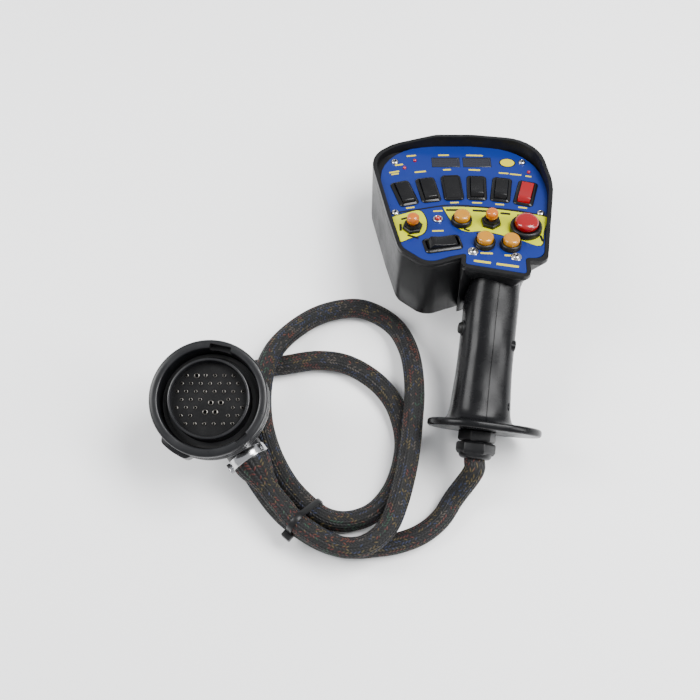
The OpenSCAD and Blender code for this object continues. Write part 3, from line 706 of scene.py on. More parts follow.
def cable_route():
    lead = [point_at(DOWN_GRIP, 0, 0, t) for t in (109, 122, 132)]
    lay = [Vector(p) * 0.001 for p in CABLE_LAY]
    tail = [point_at(OUTLET, 0, 0, d) for d in (82, 74)]
    return lead + lay + tail


def curve_point(points, i, t):
    """A smooth curve through all the points; t runs from 0 to 1 between i and the next."""
    a, d = points[max(i - 1, 0)], points[min(i + 2, len(points) - 1)]
    b, c = points[i], points[i + 1]
    square, cube = 2 * a - 5 * b + 4 * c - d, 3 * b - a - 3 * c + d
    return 0.5 * (2 * b + (c - a) * t + square * t * t + cube * t**3)


def even_line(points, step):
    """The smooth curve, cut into even steps, and its length."""
    fine = [curve_point(points, i, k / 24) for i in range(len(points) - 1) for k in range(24)]
    fine.append(points[-1])
    total = sum((q - p).length for p, q in zip(fine, fine[1:]))
    count = max(2, round(total / step))
    line, gone, goal, i = [fine[0]], 0.0, total / count, 0
    while i < len(fine) - 1 and len(line) < count:
        piece = (fine[i + 1] - fine[i]).length
        if gone + piece >= goal * len(line):
            t = (goal * len(line) - gone) / piece
            line.append(fine[i].lerp(fine[i + 1], t))
        else:
            gone += piece
            i += 1
    line.append(fine[-1])
    return line, total


def braided_tube(name, line, radii, relief, strips=4):
    """A tube of rings along the line, raised into the rows of a braid, with a
    map wound round it. One unit of the map is one turn, in both directions."""
    points, faces, wound = [], [], []
    sides = BRAID_ROWS * strips
    girth = math.pi * CABLE_D / 1000
    side = Vector((0, 0, 1))
    travel = 0.0
    for i, centre in enumerate(line):
        ahead = (line[min(i + 1, len(line) - 1)] - line[max(i - 1, 0)]).normalized()
        side = (side - ahead * side.dot(ahead)).normalized()
        other = ahead.cross(side)
        if i:
            travel += (centre - line[i - 1]).length
        for k in range(sides):
            crown = math.sin(math.pi * (k % strips) / strips)
            radius = radii[i] + relief * (crown - 0.6)
            angle = 2 * math.pi * k / sides
            points.append(centre + (side * math.cos(angle) + other * math.sin(angle)) * radius)
        wound.append(travel / girth)
    for i in range(len(line) - 1):
        for k in range(sides):
            n = (k + 1) % sides
            faces.append((i * sides + k, i * sides + n, (i + 1) * sides + n, (i + 1) * sides + k))
    faces.append(tuple(range(sides))[::-1])
    faces.append(tuple((len(line) - 1) * sides + k for k in range(sides)))
    mesh = bpy.data.meshes.new(name)
    mesh.from_pydata(points, [], faces)
    layer = mesh.uv_layers.new(name="wound")
    slot = 0
    for i in range(len(line) - 1):
        for k in range(sides):
            corners = ((k, i), (k + 1, i), (k + 1, i + 1), (k, i + 1))
            for j, (a, b) in enumerate(corners):
                layer.data[slot + j].uv = (a / sides, wound[b])
            slot += 4
    piece = bpy.data.objects.new(name, mesh)
    bpy.context.collection.objects.link(piece)
    return piece


def make_cable():
    line, total = even_line(cable_route(), CABLE_STEP)
    cable = braided_tube("braided_cable", line, [CABLE_D / 2000] * len(line), CABLE_RELIEF)
    finished(cable, cable_braid, stands_for=["cable"], angle=60)
    return cable, line, total


def make_sleeve():
    """The braid opens out over the connector's outlet."""
    ends = [point_at(OUTLET, 0, 0, d) for d in (51.5, 60, 67, 76)]
    line, _ = even_line(ends, SLEEVE_STEP)
    radii = []
    for i in range(len(line)):
        t = i / (len(line) - 1)
        ease = t * t * (3 - 2 * t)
        radii.append((SLEEVE_START * (1 - ease) + SLEEVE_END * ease) / 1000)
    sleeve = braided_tube("flared_braid", line, radii, SLEEVE_RELIEF)
    return finished(sleeve, cable_braid, stands_for=["sleeve_end"], angle=60)


# ---- the housing and its panel ---------------------------------------------
CORNERS = [
    (-72, 68, 40), (-19, 74.3, 60), (12, 74.3, 60), (63, 67.5, 45), (70, 16, 60),
    (57.5, -59.5, 9), (43.5, -59, 3), (42.5, -76, 2), (-2.5, -65.5, 2), (-1, -54, 2),
    (-14, -57.5, 20), (-31, -64.5, 14), (-50, -47.5, 12), (-57.5, -13, 60),
]


CASE_OUT, PLATE_EDGE, CASE_IN = 3.5, 0.3, -4.5
CASE_FLOOR, PLATE_UNDER = -58, -3.5


def case_outline(grow, steps=7):
    """The panel's outline, moved outwards by grow, with its corners rounded."""
    spots = [Vector(c[:2]) for c in CORNERS]
    n = len(spots)

    def outward(a, b):
        way = (b - a).normalized()
        return Vector((-way.y, way.x))

    moved = []
    for i in range(n):
        a, p, b = spots[i - 1], spots[i], spots[(i + 1) % n]
        n1, n2 = outward(a, p), outward(p, b)
        moved.append(p + (n1 + n2) * grow / (1 + n1.dot(n2)))
    line = []
    for i in range(n):
        a, p, b = moved[i - 1], moved[i], moved[(i + 1) % n]
        u, v = (a - p).normalized(), (b - p).normalized()
        bulges = (p - a).cross(b - p) < 0
        radius = max(CORNERS[i][2] + (grow if bulges else -grow), 0.4)
        half = math.acos(max(-1, min(1, u.dot(v)))) / 2
        radius = min(radius, 0.48 * min((a - p).length, (b - p).length) * math.tan(half))
        centre = p + (u + v).normalized() * radius / math.sin(half)
        s = p + u * radius / math.tan(half) - centre
        e = p + v * radius / math.tan(half) - centre
        first = math.atan2(s.y, s.x)
        sweep = (math.atan2(e.y, e.x) - first + math.pi) % (2 * math.pi) - math.pi
        for k in range(steps + 1):
            b = first + sweep * k / steps
            line.append((centre.x + radius * math.cos(b), centre.y + radius * math.sin(b)))
    return line


def between(value, low, high, at_low, at_high):
    t = max(0.0, min(1.0, (value - low) / (high - low)))
    return at_low + (at_high - at_low) * t


def hood_height(x, y):
    return min(between(x, -60, -18, 2.5, 10), between(y, -52, 34, 0.02, 10))


def drawn_in(line, z):
    """Below the panel the case narrows towards the grip at its lower right."""
    deep = min(1.0, -z / 34)
    ring = []
    for x, y in line:
        neck = between(y, -62, -56, 1, 0) * between(x, -6, -2, 0, 1)
        lobe = between(x, 34, 42, 0, 1) * between(y, -50, 20, 1, 0) * (1 - neck)
        ring.append(
            (
                x - deep * (15 * lobe + neck * between(x, 0, 38, -9, 12)),
                y + deep * (13 * lobe + 13 * neck),
                z,
            )
        )
    return ring


def make_housing():
    outside, wall, ledge = (case_outline(grow) for grow in (CASE_OUT, PLATE_EDGE, CASE_IN))
    hood = [hood_height(*p) for p in outside]
    rim = [(p[0], p[1], h) for p, h in zip(outside, hood)]
    lip = [(p[0], p[1], h) for p, h in zip(wall, hood)]
    rings = [
        drawn_in(case_outline(1.0), CASE_FLOOR), drawn_in(case_outline(2.6), CASE_FLOOR + 0.8),
    ]
    rings += [drawn_in(outside, z) for z in (-55, -36, -30, -18)]
    rings += [
        lifted(outside, -3.8), lifted(case_outline(3.1), -3.4), lifted(outside, -3.0), rim, lip,
    ]
    rings += [lifted(wall, PLATE_UNDER), lifted(ledge, PLATE_UNDER)]
    rings += [drawn_in(ledge, -36), drawn_in(ledge, CASE_FLOOR + 3.5)]
    housing = drawn_up("case_and_hood", rings)
    soften(housing, 0.7, 3, 40)
    finished(housing, black_case, stands_for=["housing"], angle=40, at=PANEL)


def patch(name, line, low, high):
    return drawn_up(name, [lifted(line, low), lifted(line, high)])


def strip_line(points, width):
    """Outline of a band of even width along a run of points."""
    left, right = [], []
    for i, p in enumerate(points):
        a = Vector(points[max(i - 1, 0)])
        b = Vector(points[min(i + 1, len(points) - 1)])
        way = (b - a).normalized() * width / 2
        left.append((p[0] - way.y, p[1] + way.x))
        right.append((p[0] + way.y, p[1] - way.x))
    return left + right[::-1]


def eased(points, steps=6):
    """A rounder run through the same points."""
    corners = [Vector(p) for p in points]
    run = [
        curve_point(corners, i, k / steps) for i in range(len(points) - 1) for k in range(steps)
    ]
    return [(q.x, q.y) for q in run] + [tuple(points[-1])]


LEFT_ZONE = [
    (-57.4, -13.8), (-46.5, -9.2), (-35.4, -5.9), (-30.8, -14), (-30.4, -24.4), (-33.6, -32.6),
    (-43, -37.4), (-52.5, -41.4), (-55, -28),
]
RIGHT_ZONE = [
    (-16.2, -1.9), (-3, -1.6), (9.5, -2.4), (24, -4.2), (38.3, -6.7), (52, -9.7), (65.5, -13),
    (61, -30), (56.7, -46),
    (42.2, -40.1), (29, -34.6), (16.8, -30.5), (9, -29.8), (2.5, -30.5), (-4.9, -27.1),
    (-10.9, -17.3),
]
DIVIDER = [
    (-59.7, -10.2), (-47, -7), (-35.3, -4.5), (-14.6, 0), (-3, 0.1), (9.6, -1), (38.4, -5.2),
    (52, -8.6), (65.5, -13),
]
YELLOW_MARKS = [
    (-39, 62, 8, 1.7, 8), (-49.6, 50.3, 7, 1.7, 12), (-53.9, 41.2, 8.5, 1.7, 14),
    (-53.3, 38.6, 6.5, 1.6, 14),
    (-32.3, 41.4, 9.5, 1.7, 8), (-11.8, 62.8, 9, 1.7, 2), (14.2, 62.4, 14, 1.7, -2),
    (-10.1, 44.0, 6.5, 1.7, 3),
    (12.7, 43.7, 9.5, 1.7, -3), (36.5, 39.6, 8, 1.6, -7), (46.2, 37.9, 9.5, 1.6, -9),
    (56.5, 35.6, 5, 1.6, -12),
    (-6.6, 3.4, 7, 1.5, 3), (11.6, 3.2, 8, 1.5, -3), (29.6, 1.2, 7, 1.5, -6),
    (47.5, -2.6, 7, 1.5, -10),
    (-42.3, -2.6, 7, 1.5, 12), (14.2, -54.4, 9.5, 1.7, -3), (30.5, -56.8, 5.5, 1.7, -4),
    (-20.5, -6.6, 7.5, 1.5, 4),
    (-21.7, -29.5, 9, 1.5, 2),
]
NECK_MARKS = [(10.2, -63.6, 13, 2.2, -11), (29, -67.4, 17, 2.2, -11)]
DARK_MARKS = [
    (-45.5, -14.6, 10, 2.2, 20), (-41.5, -36, 9.5, 2.0, -22), (-50.8, -25.5, 2.0, 8, 0),
    (-8, -5.4, 12, 2.4, 0),
    (13.6, -6.4, 13, 2.4, -5), (33, -9.6, 8, 2.4, -8), (47, -12.4, 10, 2.4, -12),
    (12, -33.2, 8, 2.2, -12),
    (1, -28.4, 5, 1.8, -25), (58.4, -38, 2.0, 7, 10),
]


def marks(name, spots, material):
    bars = []
    for x, y, w, h, angle in spots:
        bar = patch(name, rounded_box_line(w, h, min(w, h) * 0.3, 2), 0, 0.1)
        place(bar, shift(x, y, 0.02) @ turn(angle, "Z"))
        bars.append(bar)
    piece = joined(name, bars)
    finished(piece, material, at=PANEL)


def make_print():
    """The printed zones, dividers and plain marks stand a hair above the plate."""
    for name, line in (("zone_left", LEFT_ZONE), ("zone_right", RIGHT_ZONE)):
        closed = eased(line + line[:1], 4)[:-1]
        grown = []
        centre = sum((Vector(p) for p in closed), Vector((0, 0))) / len(closed)
        for p in closed:
            way = (Vector(p) - centre).normalized()
            grown.append(tuple(Vector(p) + way * 0.9))
        outline = patch(name + "_border", grown, 0.0, 0.035)
        finished(outline, ink_and_shade_black, at=PANEL)
        zone = patch(name, closed, 0.0, 0.06)
        finished(zone, ink_lime, at=PANEL)
    divider = patch("dividing_line", strip_line(eased(DIVIDER), 1.5), 0.0, 0.09)
    finished(divider, ink_and_shade_black, at=PANEL)
    for name, size, top, ink in (
        ("badge_edge", 1.3, 0.1, ink_and_shade_black), ("badge", 1.12, 0.16, ink_yellow),
    ):
        line = [(5.25 * size * x, 4.35 * size * y) for x, y in round_line(1, 48)]
        badge = patch(name, line, 0.0, top)
        finished(badge, ink, at=PANEL @ shift(40.8, 52.9, 0))
    marks("badge_mark", [(40.8, 52.9, 5.4, 1.3, -4)], ink_and_shade_black)
    marks("yellow_marks", YELLOW_MARKS + NECK_MARKS, ink_yellow)
    marks("dark_marks", DARK_MARKS, ink_and_shade_black)


def make_screws():
    head = turned(
        "panel_screws",
        [
            (1.45, -14.4), (1.45, 0.02), (3, 0.02), (3, 0.7), (2.75, 1.3), (2.2, 1.8),
            (1.55, 2.0), (1.45, 1.95), (1.3, 0.9),
        ],
        32,
    )
    screws = spread(head, on_panel(SCREWS))
    # Painted shade: a black hexagon lies on the floor of each screw head's recess, standing in
    # for the shadow inside the socket.
    socket = turned("screw_socket_shade", [(1.2, 0.95), (1.2, 1.05)], 6)
    finished(spread(socket, on_panel(SCREWS)), ink_and_shade_black)
    washer = turned_band(
        "neck_washers", [(1.6, 0.02), (4.2, 0.02), (4.2, 0.45), (3.95, 0.7), (1.6, 0.7)], 48,
    )
    washers = spread(washer, on_panel(SCREWS[4:]))
    finished(washers, bright_steel)
    finished(screws, bright_steel, stands_for=["plate_screws"])


def make_windows():
    pane = drawn_up(
        "windows",
        box_rings(
            [
                (23.4, 12.2, 0.8, -2.0), (23.4, 12.2, 0.8, 0.25), (22.6, 11.4, 0.6, 0.5),
                (20.6, 9.2, 0.4, 0.5), (20.2, 8.8, 0.4, 0.15),
            ]
        ),
    )
    panes = spread(pane, on_panel(WINDOWS))
    finished(panes, dark_window, stands_for=["display_windows"])
    digit_bars = []
    for x, y in WINDOWS:
        for k in range(4):
            cx = x - 7.2 + 4.8 * k
            digit_bars += [
                (cx, y + 2.6, 2.6, 0.5, 0), (cx, y, 2.6, 0.5, 0), (cx, y - 2.6, 2.6, 0.5, 0),
            ]
            digit_bars += [(cx - 1.5, y, 0.5, 5.0, 0), (cx + 1.5, y, 0.5, 5.0, 0)]
    bars = []
    for x, y, w, h, a in digit_bars:
        bar = patch("digits", rounded_box_line(w, h, 0.2, 1), 0.1, 0.22)
        place(bar, shift(x, y, 0))
        bars.append(bar)
    digits = joined("unlit_digits", bars)
    finished(
        digits,
        handled("unlit_digit", (0.014, 0.014, 0.02), (0.02, 0.02, 0.024), 0.2, 0.35, shine=0.3),
        at=PANEL,
    )


def make_lamps():
    lamp = turned(
        "lamps", [(1.45, -2), (1.45, 0.3), (1.4, 0.8), (1.15, 1.3), (0.7, 1.62), (0.25, 1.7)], 24,
    )
    lamps = spread(lamp, on_panel(LAMPS))
    finished(lamps, lamp_red, stands_for=["indicator_leds"], angle=60)
    bezel = turned(
        "pilot_rim",
        [
            (2.95, -12), (2.95, 0.01), (4, 0.01), (4, 0.9), (3.7, 1.4), (3.1, 1.6), (2.6, 1.4),
            (2.4, 0.9), (2.35, -1),
        ],
        48, PILOT,
    )
    finished(bezel, bright_steel, stands_for=["pilot_bezel"], angle=50, at=PANEL)
    lens = turned(
        "pilot_glass",
        [(2.25, -0.9), (2.25, 1.2), (2.1, 1.9), (1.6, 2.7), (0.9, 3.2), (0.3, 3.35)], 40, PILOT,
    )
    finished(lens, lamp_red, stands_for=["pilot_lens"], angle=60, at=PANEL)


ROCKER_REACH = 12.65
ROCKER_PIVOT = -4


def paddle_line():
    """The rocker's side: round at its ends about the pivot, with a hollow between two crests."""
    turns = [math.radians(a) for a in range(-22, 43, 4)]
    end = [(ROCKER_REACH * math.cos(a), ROCKER_REACH * math.sin(a)) for a in turns]
    top = [
        (y, 8.2 + 0.8 * abs(y) / 26 - 0.35 * math.cos(y / 9.4 * math.pi / 2))
        for y in (9.0, 7, 5, 3, 1, -1, -3, -5, -7, -9.0)
    ]
    return end + top + [(-y, z) for y, z in end[::-1]]


def make_rockers():
    body, outer = (14.4, 27.6, 0.8), (16.4, 30, 3.4)
    bezel = drawn_up(
        "rocker_bezels",
        box_rings(
            [
                (*body, -12), (*body, 0.01), (*outer, 0.01), (*outer, 0.5),
                (15.6, 29.2, 3.0, 1.0),
                (12.2, 26.6, 1.4, 1.8), (10.8, 26.2, 0.9, 1.8), (10.4, 26, 0.7, 1.3),
                (10.4, 26, 0.7, -10.5),
            ]
        ),
    )
    soften(bezel, 0.2, 2, 30)
    spots = [fan_place(i) for i in (0, 1, 3, 4, 5)] + [CROSS_PLACE]
    finished(
        spread(bezel, spots), switch_black, stands_for=["rocker_frames"],
    )
    blank = drawn_up(
        "blank_plate",
        box_rings(
            [
                (*body, -6), (*body, 0.01), (*outer, 0.01), (*outer, 1.1), (15.4, 29, 2.9, 1.8),
                (13.4, 26.6, 1.0, 1.8), (13.0, 26.2, 0.9, 1.45), (12.4, 25.6, 0.8, 1.45),
                (12.0, 25.2, 0.7, 1.8),
            ]
        ),
    )
    finished(blank, switch_black, stands_for=["blank_plug"], at=fan_place(2))
    tips = [
        ("rocker_1", fan_place(0), 8, switch_black),
        ("rocker_2", fan_place(1), 8, switch_black),
        ("rocker_3", fan_place(3), 0, switch_black),
        ("rocker_4", fan_place(4), 0, switch_black),
        ("rocker_5", fan_place(5), 0, switch_red),
        ("rocker_cross", CROSS_PLACE, -8, switch_black),
    ]
    for name, where, angle, material in tips:
        paddle = drawn_up(
            name + "_cap", [[(x, y, z) for y, z in paddle_line()] for x in (-4.95, 4.95)]
        )
        soften(paddle, 0.7, 3, 40)
        place(paddle, where @ shift(0, 0, ROCKER_PIVOT) @ turn(angle, "X"))
        finished(paddle, material, body=name, stands_for=[name], angle=40)


def make_buttons():
    boot = turned(
        "button_boots_soft",
        [
            (6, -15.9), (6, 0.02), (8.25, 0.02), (8.25, 2.9), (8.05, 3.6), (7.6, 4.2),
            (7.1, 4.45), (6.8, 4.2),
            (6.7, 3.6), (6.7, 1.1), (4.1, 1.0), (4.05, -14.4),
        ],
        56,
    )
    finished(
        spread(boot, on_panel(BUTTONS)), soft_rubber, stands_for=["button_boots"],
        angle=50,
    )
    for i, (x, y) in enumerate(BUTTONS):
        cap = turned(
            f"button_top_{i + 1}",
            [
                (3.95, -7.9), (3.95, 3.8), (5.9, 3.8), (6.3, 4.1), (6.4, 4.6), (6.4, 7.0),
                (6.2, 7.9), (5.6, 8.6),
                (4.6, 8.95), (3.4, 9.0), (2.2, 8.85), (1.0, 8.75), (0.3, 8.72),
            ],
            56,
        )
        finished(
            cap, cap_amber, body=f"button_{i + 1}", stands_for=[f"button_cap_{i + 1}"],
            angle=50, at=PANEL @ shift(x, y, 0),
        )
    ring = turned(
        "stop_collar",
        [
            (7.95, -19.4), (7.95, 0.02), (12.5, 0.02), (12.5, 3.9), (12.2, 4.8), (11.6, 5.4),
            (10.9, 5.5), (10.0, 5.3),
            (9.65, 4.8), (9.6, 4.2), (9.6, 1.1), (5.1, 1.0), (5.05, -17.9),
        ],
        72,
    )
    finished(
        ring, nylon_black, stands_for=["stop_ring"], angle=50,
        at=PANEL @ shift(*STOP, 0),
    )
    top = turned(
        "stop_top",
        [
            (4.95, -9.9), (4.95, 5.3), (8.7, 5.3), (9.15, 5.6), (9.3, 6.2), (9.3, 8.2),
            (9.1, 9.2), (8.5, 10.1),
            (7.4, 10.8), (5.8, 11.15), (3.8, 11.28), (1.8, 11.3), (0.4, 11.3),
        ],
        72,
    )
    finished(
        top, switch_red, body="stop", stands_for=["stop_cap"], angle=50,
        at=PANEL @ shift(*STOP, 0),
    )


def shorten_springs():
    """Each return spring gets its own copy of its mesh."""
    springs = [
        (
            f"button_spring_{i + 1}", f"button_{i + 1}_press", (*spot, BUTTON_CHAMBER),
            BUTTON_SPRING_KEEPS,
        )
        for i, spot in enumerate(BUTTONS)
    ]
    springs.append(("stop_spring", "stop_press", (*STOP, STOP_CHAMBER), STOP_SPRING_KEEPS))
    for name, joint, foot, keep in springs:
        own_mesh(nodes[name])


def make_toggles():
    nut = turned_band(
        "toggle_locknuts",
        [(6.1, 0.05), (8.0, 0.05), (8.08, 0.4), (8.08, 2.6), (7.4, 3.2), (6.3, 3.2), (6.1, 2.9)],
        6,
    )
    nut_round = spread(
        nut, [PANEL @ shift(x, y, 0) @ turn(12 + 25 * k, "Z") for k, (x, y) in enumerate(TOGGLES)]
    )
    soften(nut_round, 0.00022, 2, 30)
    finished(nut_round, nylon_black, stands_for=["toggle_nuts"], angle=30)
    for i, (x, y) in enumerate(TOGGLES):
        knob = turned(
            f"toggle_knob_{i + 1}",
            [
                (0.9, -5), (1.7, -4.4), (1.7, 6.5), (3.6, 6.6), (4.5, 7.0), (4.88, 7.8),
                (4.9, 9.4), (4.8, 10.8),
                (4.45, 12.0), (3.7, 12.9), (2.5, 13.4), (1.2, 13.5), (0.3, 13.5),
            ],
            48,
        )
        finished(
            knob, knob_orange, body=f"toggle_{i + 1}", stands_for=[f"toggle_lever_{i + 1}"],
            angle=60, at=PANEL @ shift(x, y, 0),
        )


# ---- the grip ------------------------------------------------------------------
def squircle(half_w, half_d, sides):
    """A rounded-square outline with a narrow groove where the two halves meet."""
    turns = [2 * math.pi * k / sides for k in range(sides)]
    for seam in (math.pi / 2, 3 * math.pi / 2):
        turns += [seam + step for step in (-0.0085, -0.003, 0.003, 0.0085)]
    line = []
    for a in sorted(turns):
        c, s = math.cos(a), math.sin(a)
        x = half_w * math.copysign(abs(c) ** 0.8, c)
        z = half_d * math.copysign(abs(s) ** 0.8, s)
        if abs(x) < 0.3:
            z -= math.copysign(0.7, z)
        line.append((x, z))
    return line


GUARD_RADIUS, GUARD_STRAIGHT, GUARD_SHIFT = 35.7, 8.8, 5


def make_grip():
    stations = [
        (-22, 20, 21.5), (-8, 20.7, 21.5), (0, 21, 21.4), (8, 21, 21.1), (16, 21, 21.1),
        (24, 21, 21.5),
        (32, 21, 21.9), (40, 21, 21.9), (48, 21.1, 21.5), (56, 21.4, 21.3), (64, 21.8, 21.7),
        (71, 22.2, 22.3),
        (78, 22.6, 22.6), (85, 23.1, 23.1), (89, 23.9, 23.7),
        (91.5, 25.0, 24.7), (93.2, 26.6, 26.3), (94.4, 28.8, 28.4),
    ]
    fine = 96
    rings = [[(x, -t, z) for x, z in squircle(w, d, fine)] for t, w, d in stations]
    grip = drawn_up("hand_grip", rings)
    finished(
        grip, grip_black, stands_for=["grip_left", "grip_right"], angle=40, at=GRIP,
    )
    line = []
    for k in range(96):
        a = 2 * math.pi * k / 96
        x = GUARD_SHIFT + math.copysign(GUARD_STRAIGHT, math.cos(a)) + GUARD_RADIUS * math.cos(a)
        line.append((x, GUARD_RADIUS * math.sin(a)))
    guard = drawn_up("hand_guard", [lifted(line, 94), lifted(line, 100)])
    soften(guard, 2.2, 5, 40)
    finished(guard, grip_black, angle=40, at=DOWN_GRIP)
    head = turned(
        "grip_bolts",
        [
            (1.45, -16), (1.45, 16.9), (2.95, 16.9), (2.95, 18.0), (2.6, 18.6), (1.7, 18.8),
            (1.5, 18.7), (1.35, 17.6),
        ],
        32,
    )
    spots = [GRIP @ shift(0, -t, z) @ turn(90, "Y") for t, z in GRIP_BOLTS]
    boss = turned(
        "grip_bosses",
        [(4.9, 12), (4.6, 18.5), (4.3, 19.0), (3.45, 19.0), (3.15, 18.7), (3.15, 17.0)], 40,
    )
    finished(spread(boss, spots), grip_black, angle=40)
    finished(spread(head, spots), bright_steel, stands_for=["grip_screws"])
    nub = turned(
        "trigger_cap",
        [
            (1.9, 10), (1.9, 15.3), (4.7, 15.3), (4.75, 21.6), (4.6, 22.9), (4.1, 23.8),
            (3.2, 24.3), (1.8, 24.5), (0.4, 24.5),
        ],
        40,
    )
    finished(
        nub, soft_rubber, body="trigger", stands_for=["finger_button"], angle=50,
        at=TRIGGER,
    )
    collar = turned_band(
        "trigger_collar",
        [(4.95, 19.5), (6.3, 19.5), (6.3, 21.2), (5.9, 21.7), (5.2, 21.7), (4.95, 21.4)], 40,
    )
    finished(collar, nylon_black, angle=50, at=TRIGGER)


def make_gland():
    body = turned(
        "gland_hex", [(13.0, 100), (15.0, 100.6), (15.0, 107.6), (13.3, 109)], 6, start=0.0,
    )
    soften(body, 0.5, 3, 25)
    finished(body, nylon_black, stands_for=["gland_body"], angle=30, at=DOWN_GRIP)
    cap = turned(
        "gland_dome", [(13.8, 109.2), (15.5, 110.2), (15.5, 116.0), (14.2, 118.2), (13.2, 118.6)],
        6, start=math.radians(18)
    )
    soften(cap, 0.5, 3, 25)
    finished(cap, nylon_black, stands_for=["gland_cap"], angle=30, at=DOWN_GRIP)
    dome = turned_band(
        "gland_mouth",
        [
            (8.25, 117.5), (12.9, 117.5), (12.8, 119.2), (12.2, 120.6), (11.0, 121.6), (9.6, 122),
            (8.7, 121.8), (8.25, 121),
        ],
        64
    )
    finished(dome, nylon_black, angle=50, at=DOWN_GRIP)


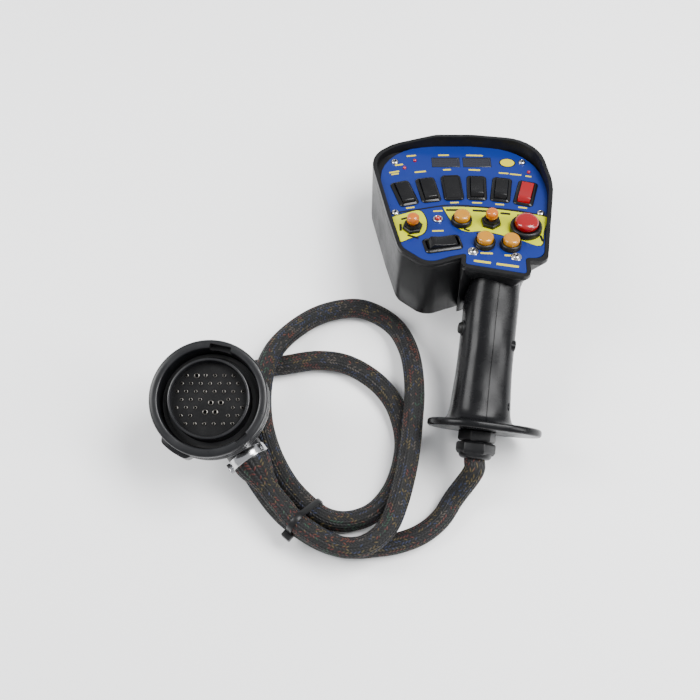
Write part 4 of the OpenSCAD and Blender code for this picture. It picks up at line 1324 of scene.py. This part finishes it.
# ---- the connector --------------------------------------------------------------
def make_connector():
    steps = [(24.35, -25.8), (41, -25.8), (43.2, -24.2), (44, -22.6), (44, -19.5)]
    for k in range(5):
        z = -18.6 + 3.1 * k
        steps += [(43.2, z), (43.2, z + 1.0), (44, z + 1.4), (44, z + 2.3)]
    steps += [
        (44, -1.4), (43.4, -0.4), (42.6, 0), (38.6, 0), (37.9, -0.3), (37.5, -1.0), (37.5, -24.2),
        (24.35, -24.2),
    ]
    ring = turned_band("bayonet_ring", steps, 144)
    for angle, width in ((78, 16), (-50, 10)):
        notch = drawn_up(
            "notch", box_rings([(4.4, width, 0.8, -8.5), (4.4, width, 0.8, 3)])
        )
        place(notch, turn(angle, "Z") @ shift(38.2, 0, 0))
        cut(ring, notch)
    finished(
        ring, anodised, body="ring", stands_for=["coupling_ring"], angle=40,
        at=CONNECTOR,
    )
    outside, inside = [], []
    for k in range(19):
        a = math.radians(218 + 2 * k)
        rise = min(1.0, k / 3, (18 - k) / 3)
        reach = 43.6 + 3.7 * math.sin(rise * math.pi / 2)
        outside.append((reach * math.cos(a), reach * math.sin(a)))
        inside.append((42.5 * math.cos(a), 42.5 * math.sin(a)))
    line = outside + inside[::-1]
    handle = drawn_up("ring_lug", [lifted(line, -23), lifted(line, -8)])
    soften(handle, 0.7, 3, 40)
    finished(handle, anodised, body="ring", angle=40, at=CONNECTOR)
    shell = turned_band(
        "inner_shell",
        [
            (28.35, -20), (28.3, -2.6), (28.7, -2.1), (29.2, -2.0), (30.0, -2.0), (30.4, -2.3),
            (30.5, -2.8), (30.5, -19.6),
            (30.9, -20), (36.9, -20), (37.2, -20.3), (37.2, -24), (24, -24), (24, -26), (20, -26),
            (20, -20),
        ],
        128,
    )
    finished(
        shell, anodised, stands_for=["connector_shell"], angle=40,
        at=CONNECTOR,
    )
    key = drawn_up(
        "shell_key", box_rings([(3.2, 4, 0.5, -19.9), (3.2, 4, 0.5, -12.2)])
    )
    soften(key, 0.35, 2, 40)
    finished(key, anodised, at=CONNECTOR @ turn(125, "Z") @ shift(31.0, 0, 0))
    power = [(1, -2.5), (8.5, -2.5), (-3, -9.5), (4.5, -9.5), (-10, 18)]
    small = []
    for row in range(-3, 4):
        for col in range(-4, 5):
            x = (col + 0.5 * (row % 2)) * SOCKET_PITCH
            p = Vector((x, row * SOCKET_PITCH * math.sin(math.radians(60))))
            crowded = any((p - Vector(q)).length < SOCKET_CLEARANCE for q in power)
            if p.length < SOCKET_REACH and not crowded:
                small.append(tuple(p))
    socket = turned_band(
        "small_sockets",
        [(0.9, -11.9), (1.3, -11.9), (1.3, -8.6), (1.2, -8.4), (1.0, -8.35), (0.9, -8.6)], 20
    )
    sockets = [spread(socket, [CONNECTOR @ shift(x, y, 0) for x, y in small])]
    large = turned_band(
        "large_sockets",
        [(1.42, -11.9), (1.95, -11.9), (1.95, -8.6), (1.85, -8.2), (1.6, -8.1), (1.42, -8.4)], 24
    )
    sockets.append(spread(large, [CONNECTOR @ shift(x, y, 0) for x, y in power]))
    finished(
        joined("socket_contacts", sockets), silver_contact, stands_for=["contacts"],
        angle=50,
    )
    back = turned(
        "backshell_cup",
        [
            (16, -58), (21.5, -58), (23.2, -57.4), (24, -56), (24, -46), (23.3, -45.6),
            (23.3, -44.4), (24, -44), (24, -29),
            (29.2, -28), (30, -27.6), (30, -26.3), (29.7, -26.01), (20, -26.01),
        ],
        96,
    )
    finished(back, anodised, stands_for=["backshell"], angle=40, at=CONNECTOR)
    neck = turned(
        "outlet_neck",
        [
            (14.5, 6), (14.5, 30), (15.4, 30.4), (15.4, 33), (14.5, 33.4), (14.5, 42), (14.2, 43),
            (14.2, 51.6), (13.6, 52), (9, 52),
        ],
        72,
    )
    finished(neck, anodised, angle=40, at=OUTLET)
    band = turned_band(
        "outlet_band",
        [(14.55, 43.6), (15.45, 43.6), (15.7, 43.9), (15.7, 50.6), (15.45, 50.9), (14.55, 50.9)],
        96
    )
    buckle = drawn_up(
        "band_buckle", box_rings([(8.4, 3.3, 0.6, 43.7), (8.4, 3.3, 0.6, 50.8)])
    )
    place(buckle, shift(0, -16.1, 0))
    tongue = drawn_up(
        "band_tongue", box_rings([(5.5, 1.0, 0.3, 44.6), (5.5, 1.0, 0.3, 49.9)])
    )
    place(tongue, shift(-2.6, -17.4, 0) @ turn(-8, "Z"))
    clamp = joined("band_and_buckle", [band, buckle, tongue])
    soften(clamp, 0.25, 2, 40)
    finished(clamp, bright_steel, stands_for=["band_clamp"], angle=40, at=OUTLET)


def make_tie():
    """The strap follows the outside of the three strands that it holds."""
    strands = [(-8.5, 9.6), (-8.5, 26.2), (9, 9.6)]
    around = []
    for k in range(120):
        a = 2 * math.pi * k / 120
        way = Vector((math.cos(a), math.sin(a)))
        best = max(strands, key=lambda s: Vector(s).dot(way))
        around.append((best, way))

    def loop(gap, y):
        return [(s[0] + w.x * gap, y, s[1] + w.y * gap) for s, w in around]

    strap = drawn_up(
        "tie_strap",
        [
            loop(8.35, -2.2), loop(9.3, -2.4), loop(9.55, -1.8), loop(9.55, 1.8), loop(9.3, 2.4),
            loop(8.35, 2.2),
        ],
        closed=True,
    )
    head = drawn_up("tie_head", box_rings([(6, 8, 0.9, 13), (6, 8, 0.9, 20)]))
    soften(head, 0.5, 2, 40)
    place(head, shift(-19.8, 0, 0))
    tie = joined("cable_tie_piece", [strap, head])
    return finished(tie, nylon_black, stands_for=["cable_tie"], angle=40, at=TIE)


def make_table():
    deselect()
    bpy.ops.mesh.primitive_plane_add(size=6, location=(0, 0, -0.0002))
    table = bpy.context.object
    table.name = "table_top"
    material, bench, shader = new_material("pale_table")
    where = bench.put("ShaderNodeTexCoord")
    cloud = bench.noise(where.outputs["Object"], 3.0, 2)
    bench.feed(shader.inputs["Roughness"], bench.span(cloud, 0.3, 0.7, 0.65, 0.8))
    shader.inputs["Base Color"].default_value = (0.95, 0.95, 0.95, 1)
    table.data.materials.append(material)


# ---- putting it together -----------------------------------------------------
set_camera()
set_lights()
dress_cad_nodes()
cable, cable_line, cable_length = make_cable()
sleeve = make_sleeve()
make_housing()
make_print()
make_screws()
make_windows()
make_lamps()
make_rockers()
make_buttons()
shorten_springs()
make_toggles()
make_grip()
make_gland()
make_connector()
tie = make_tie()
make_table()
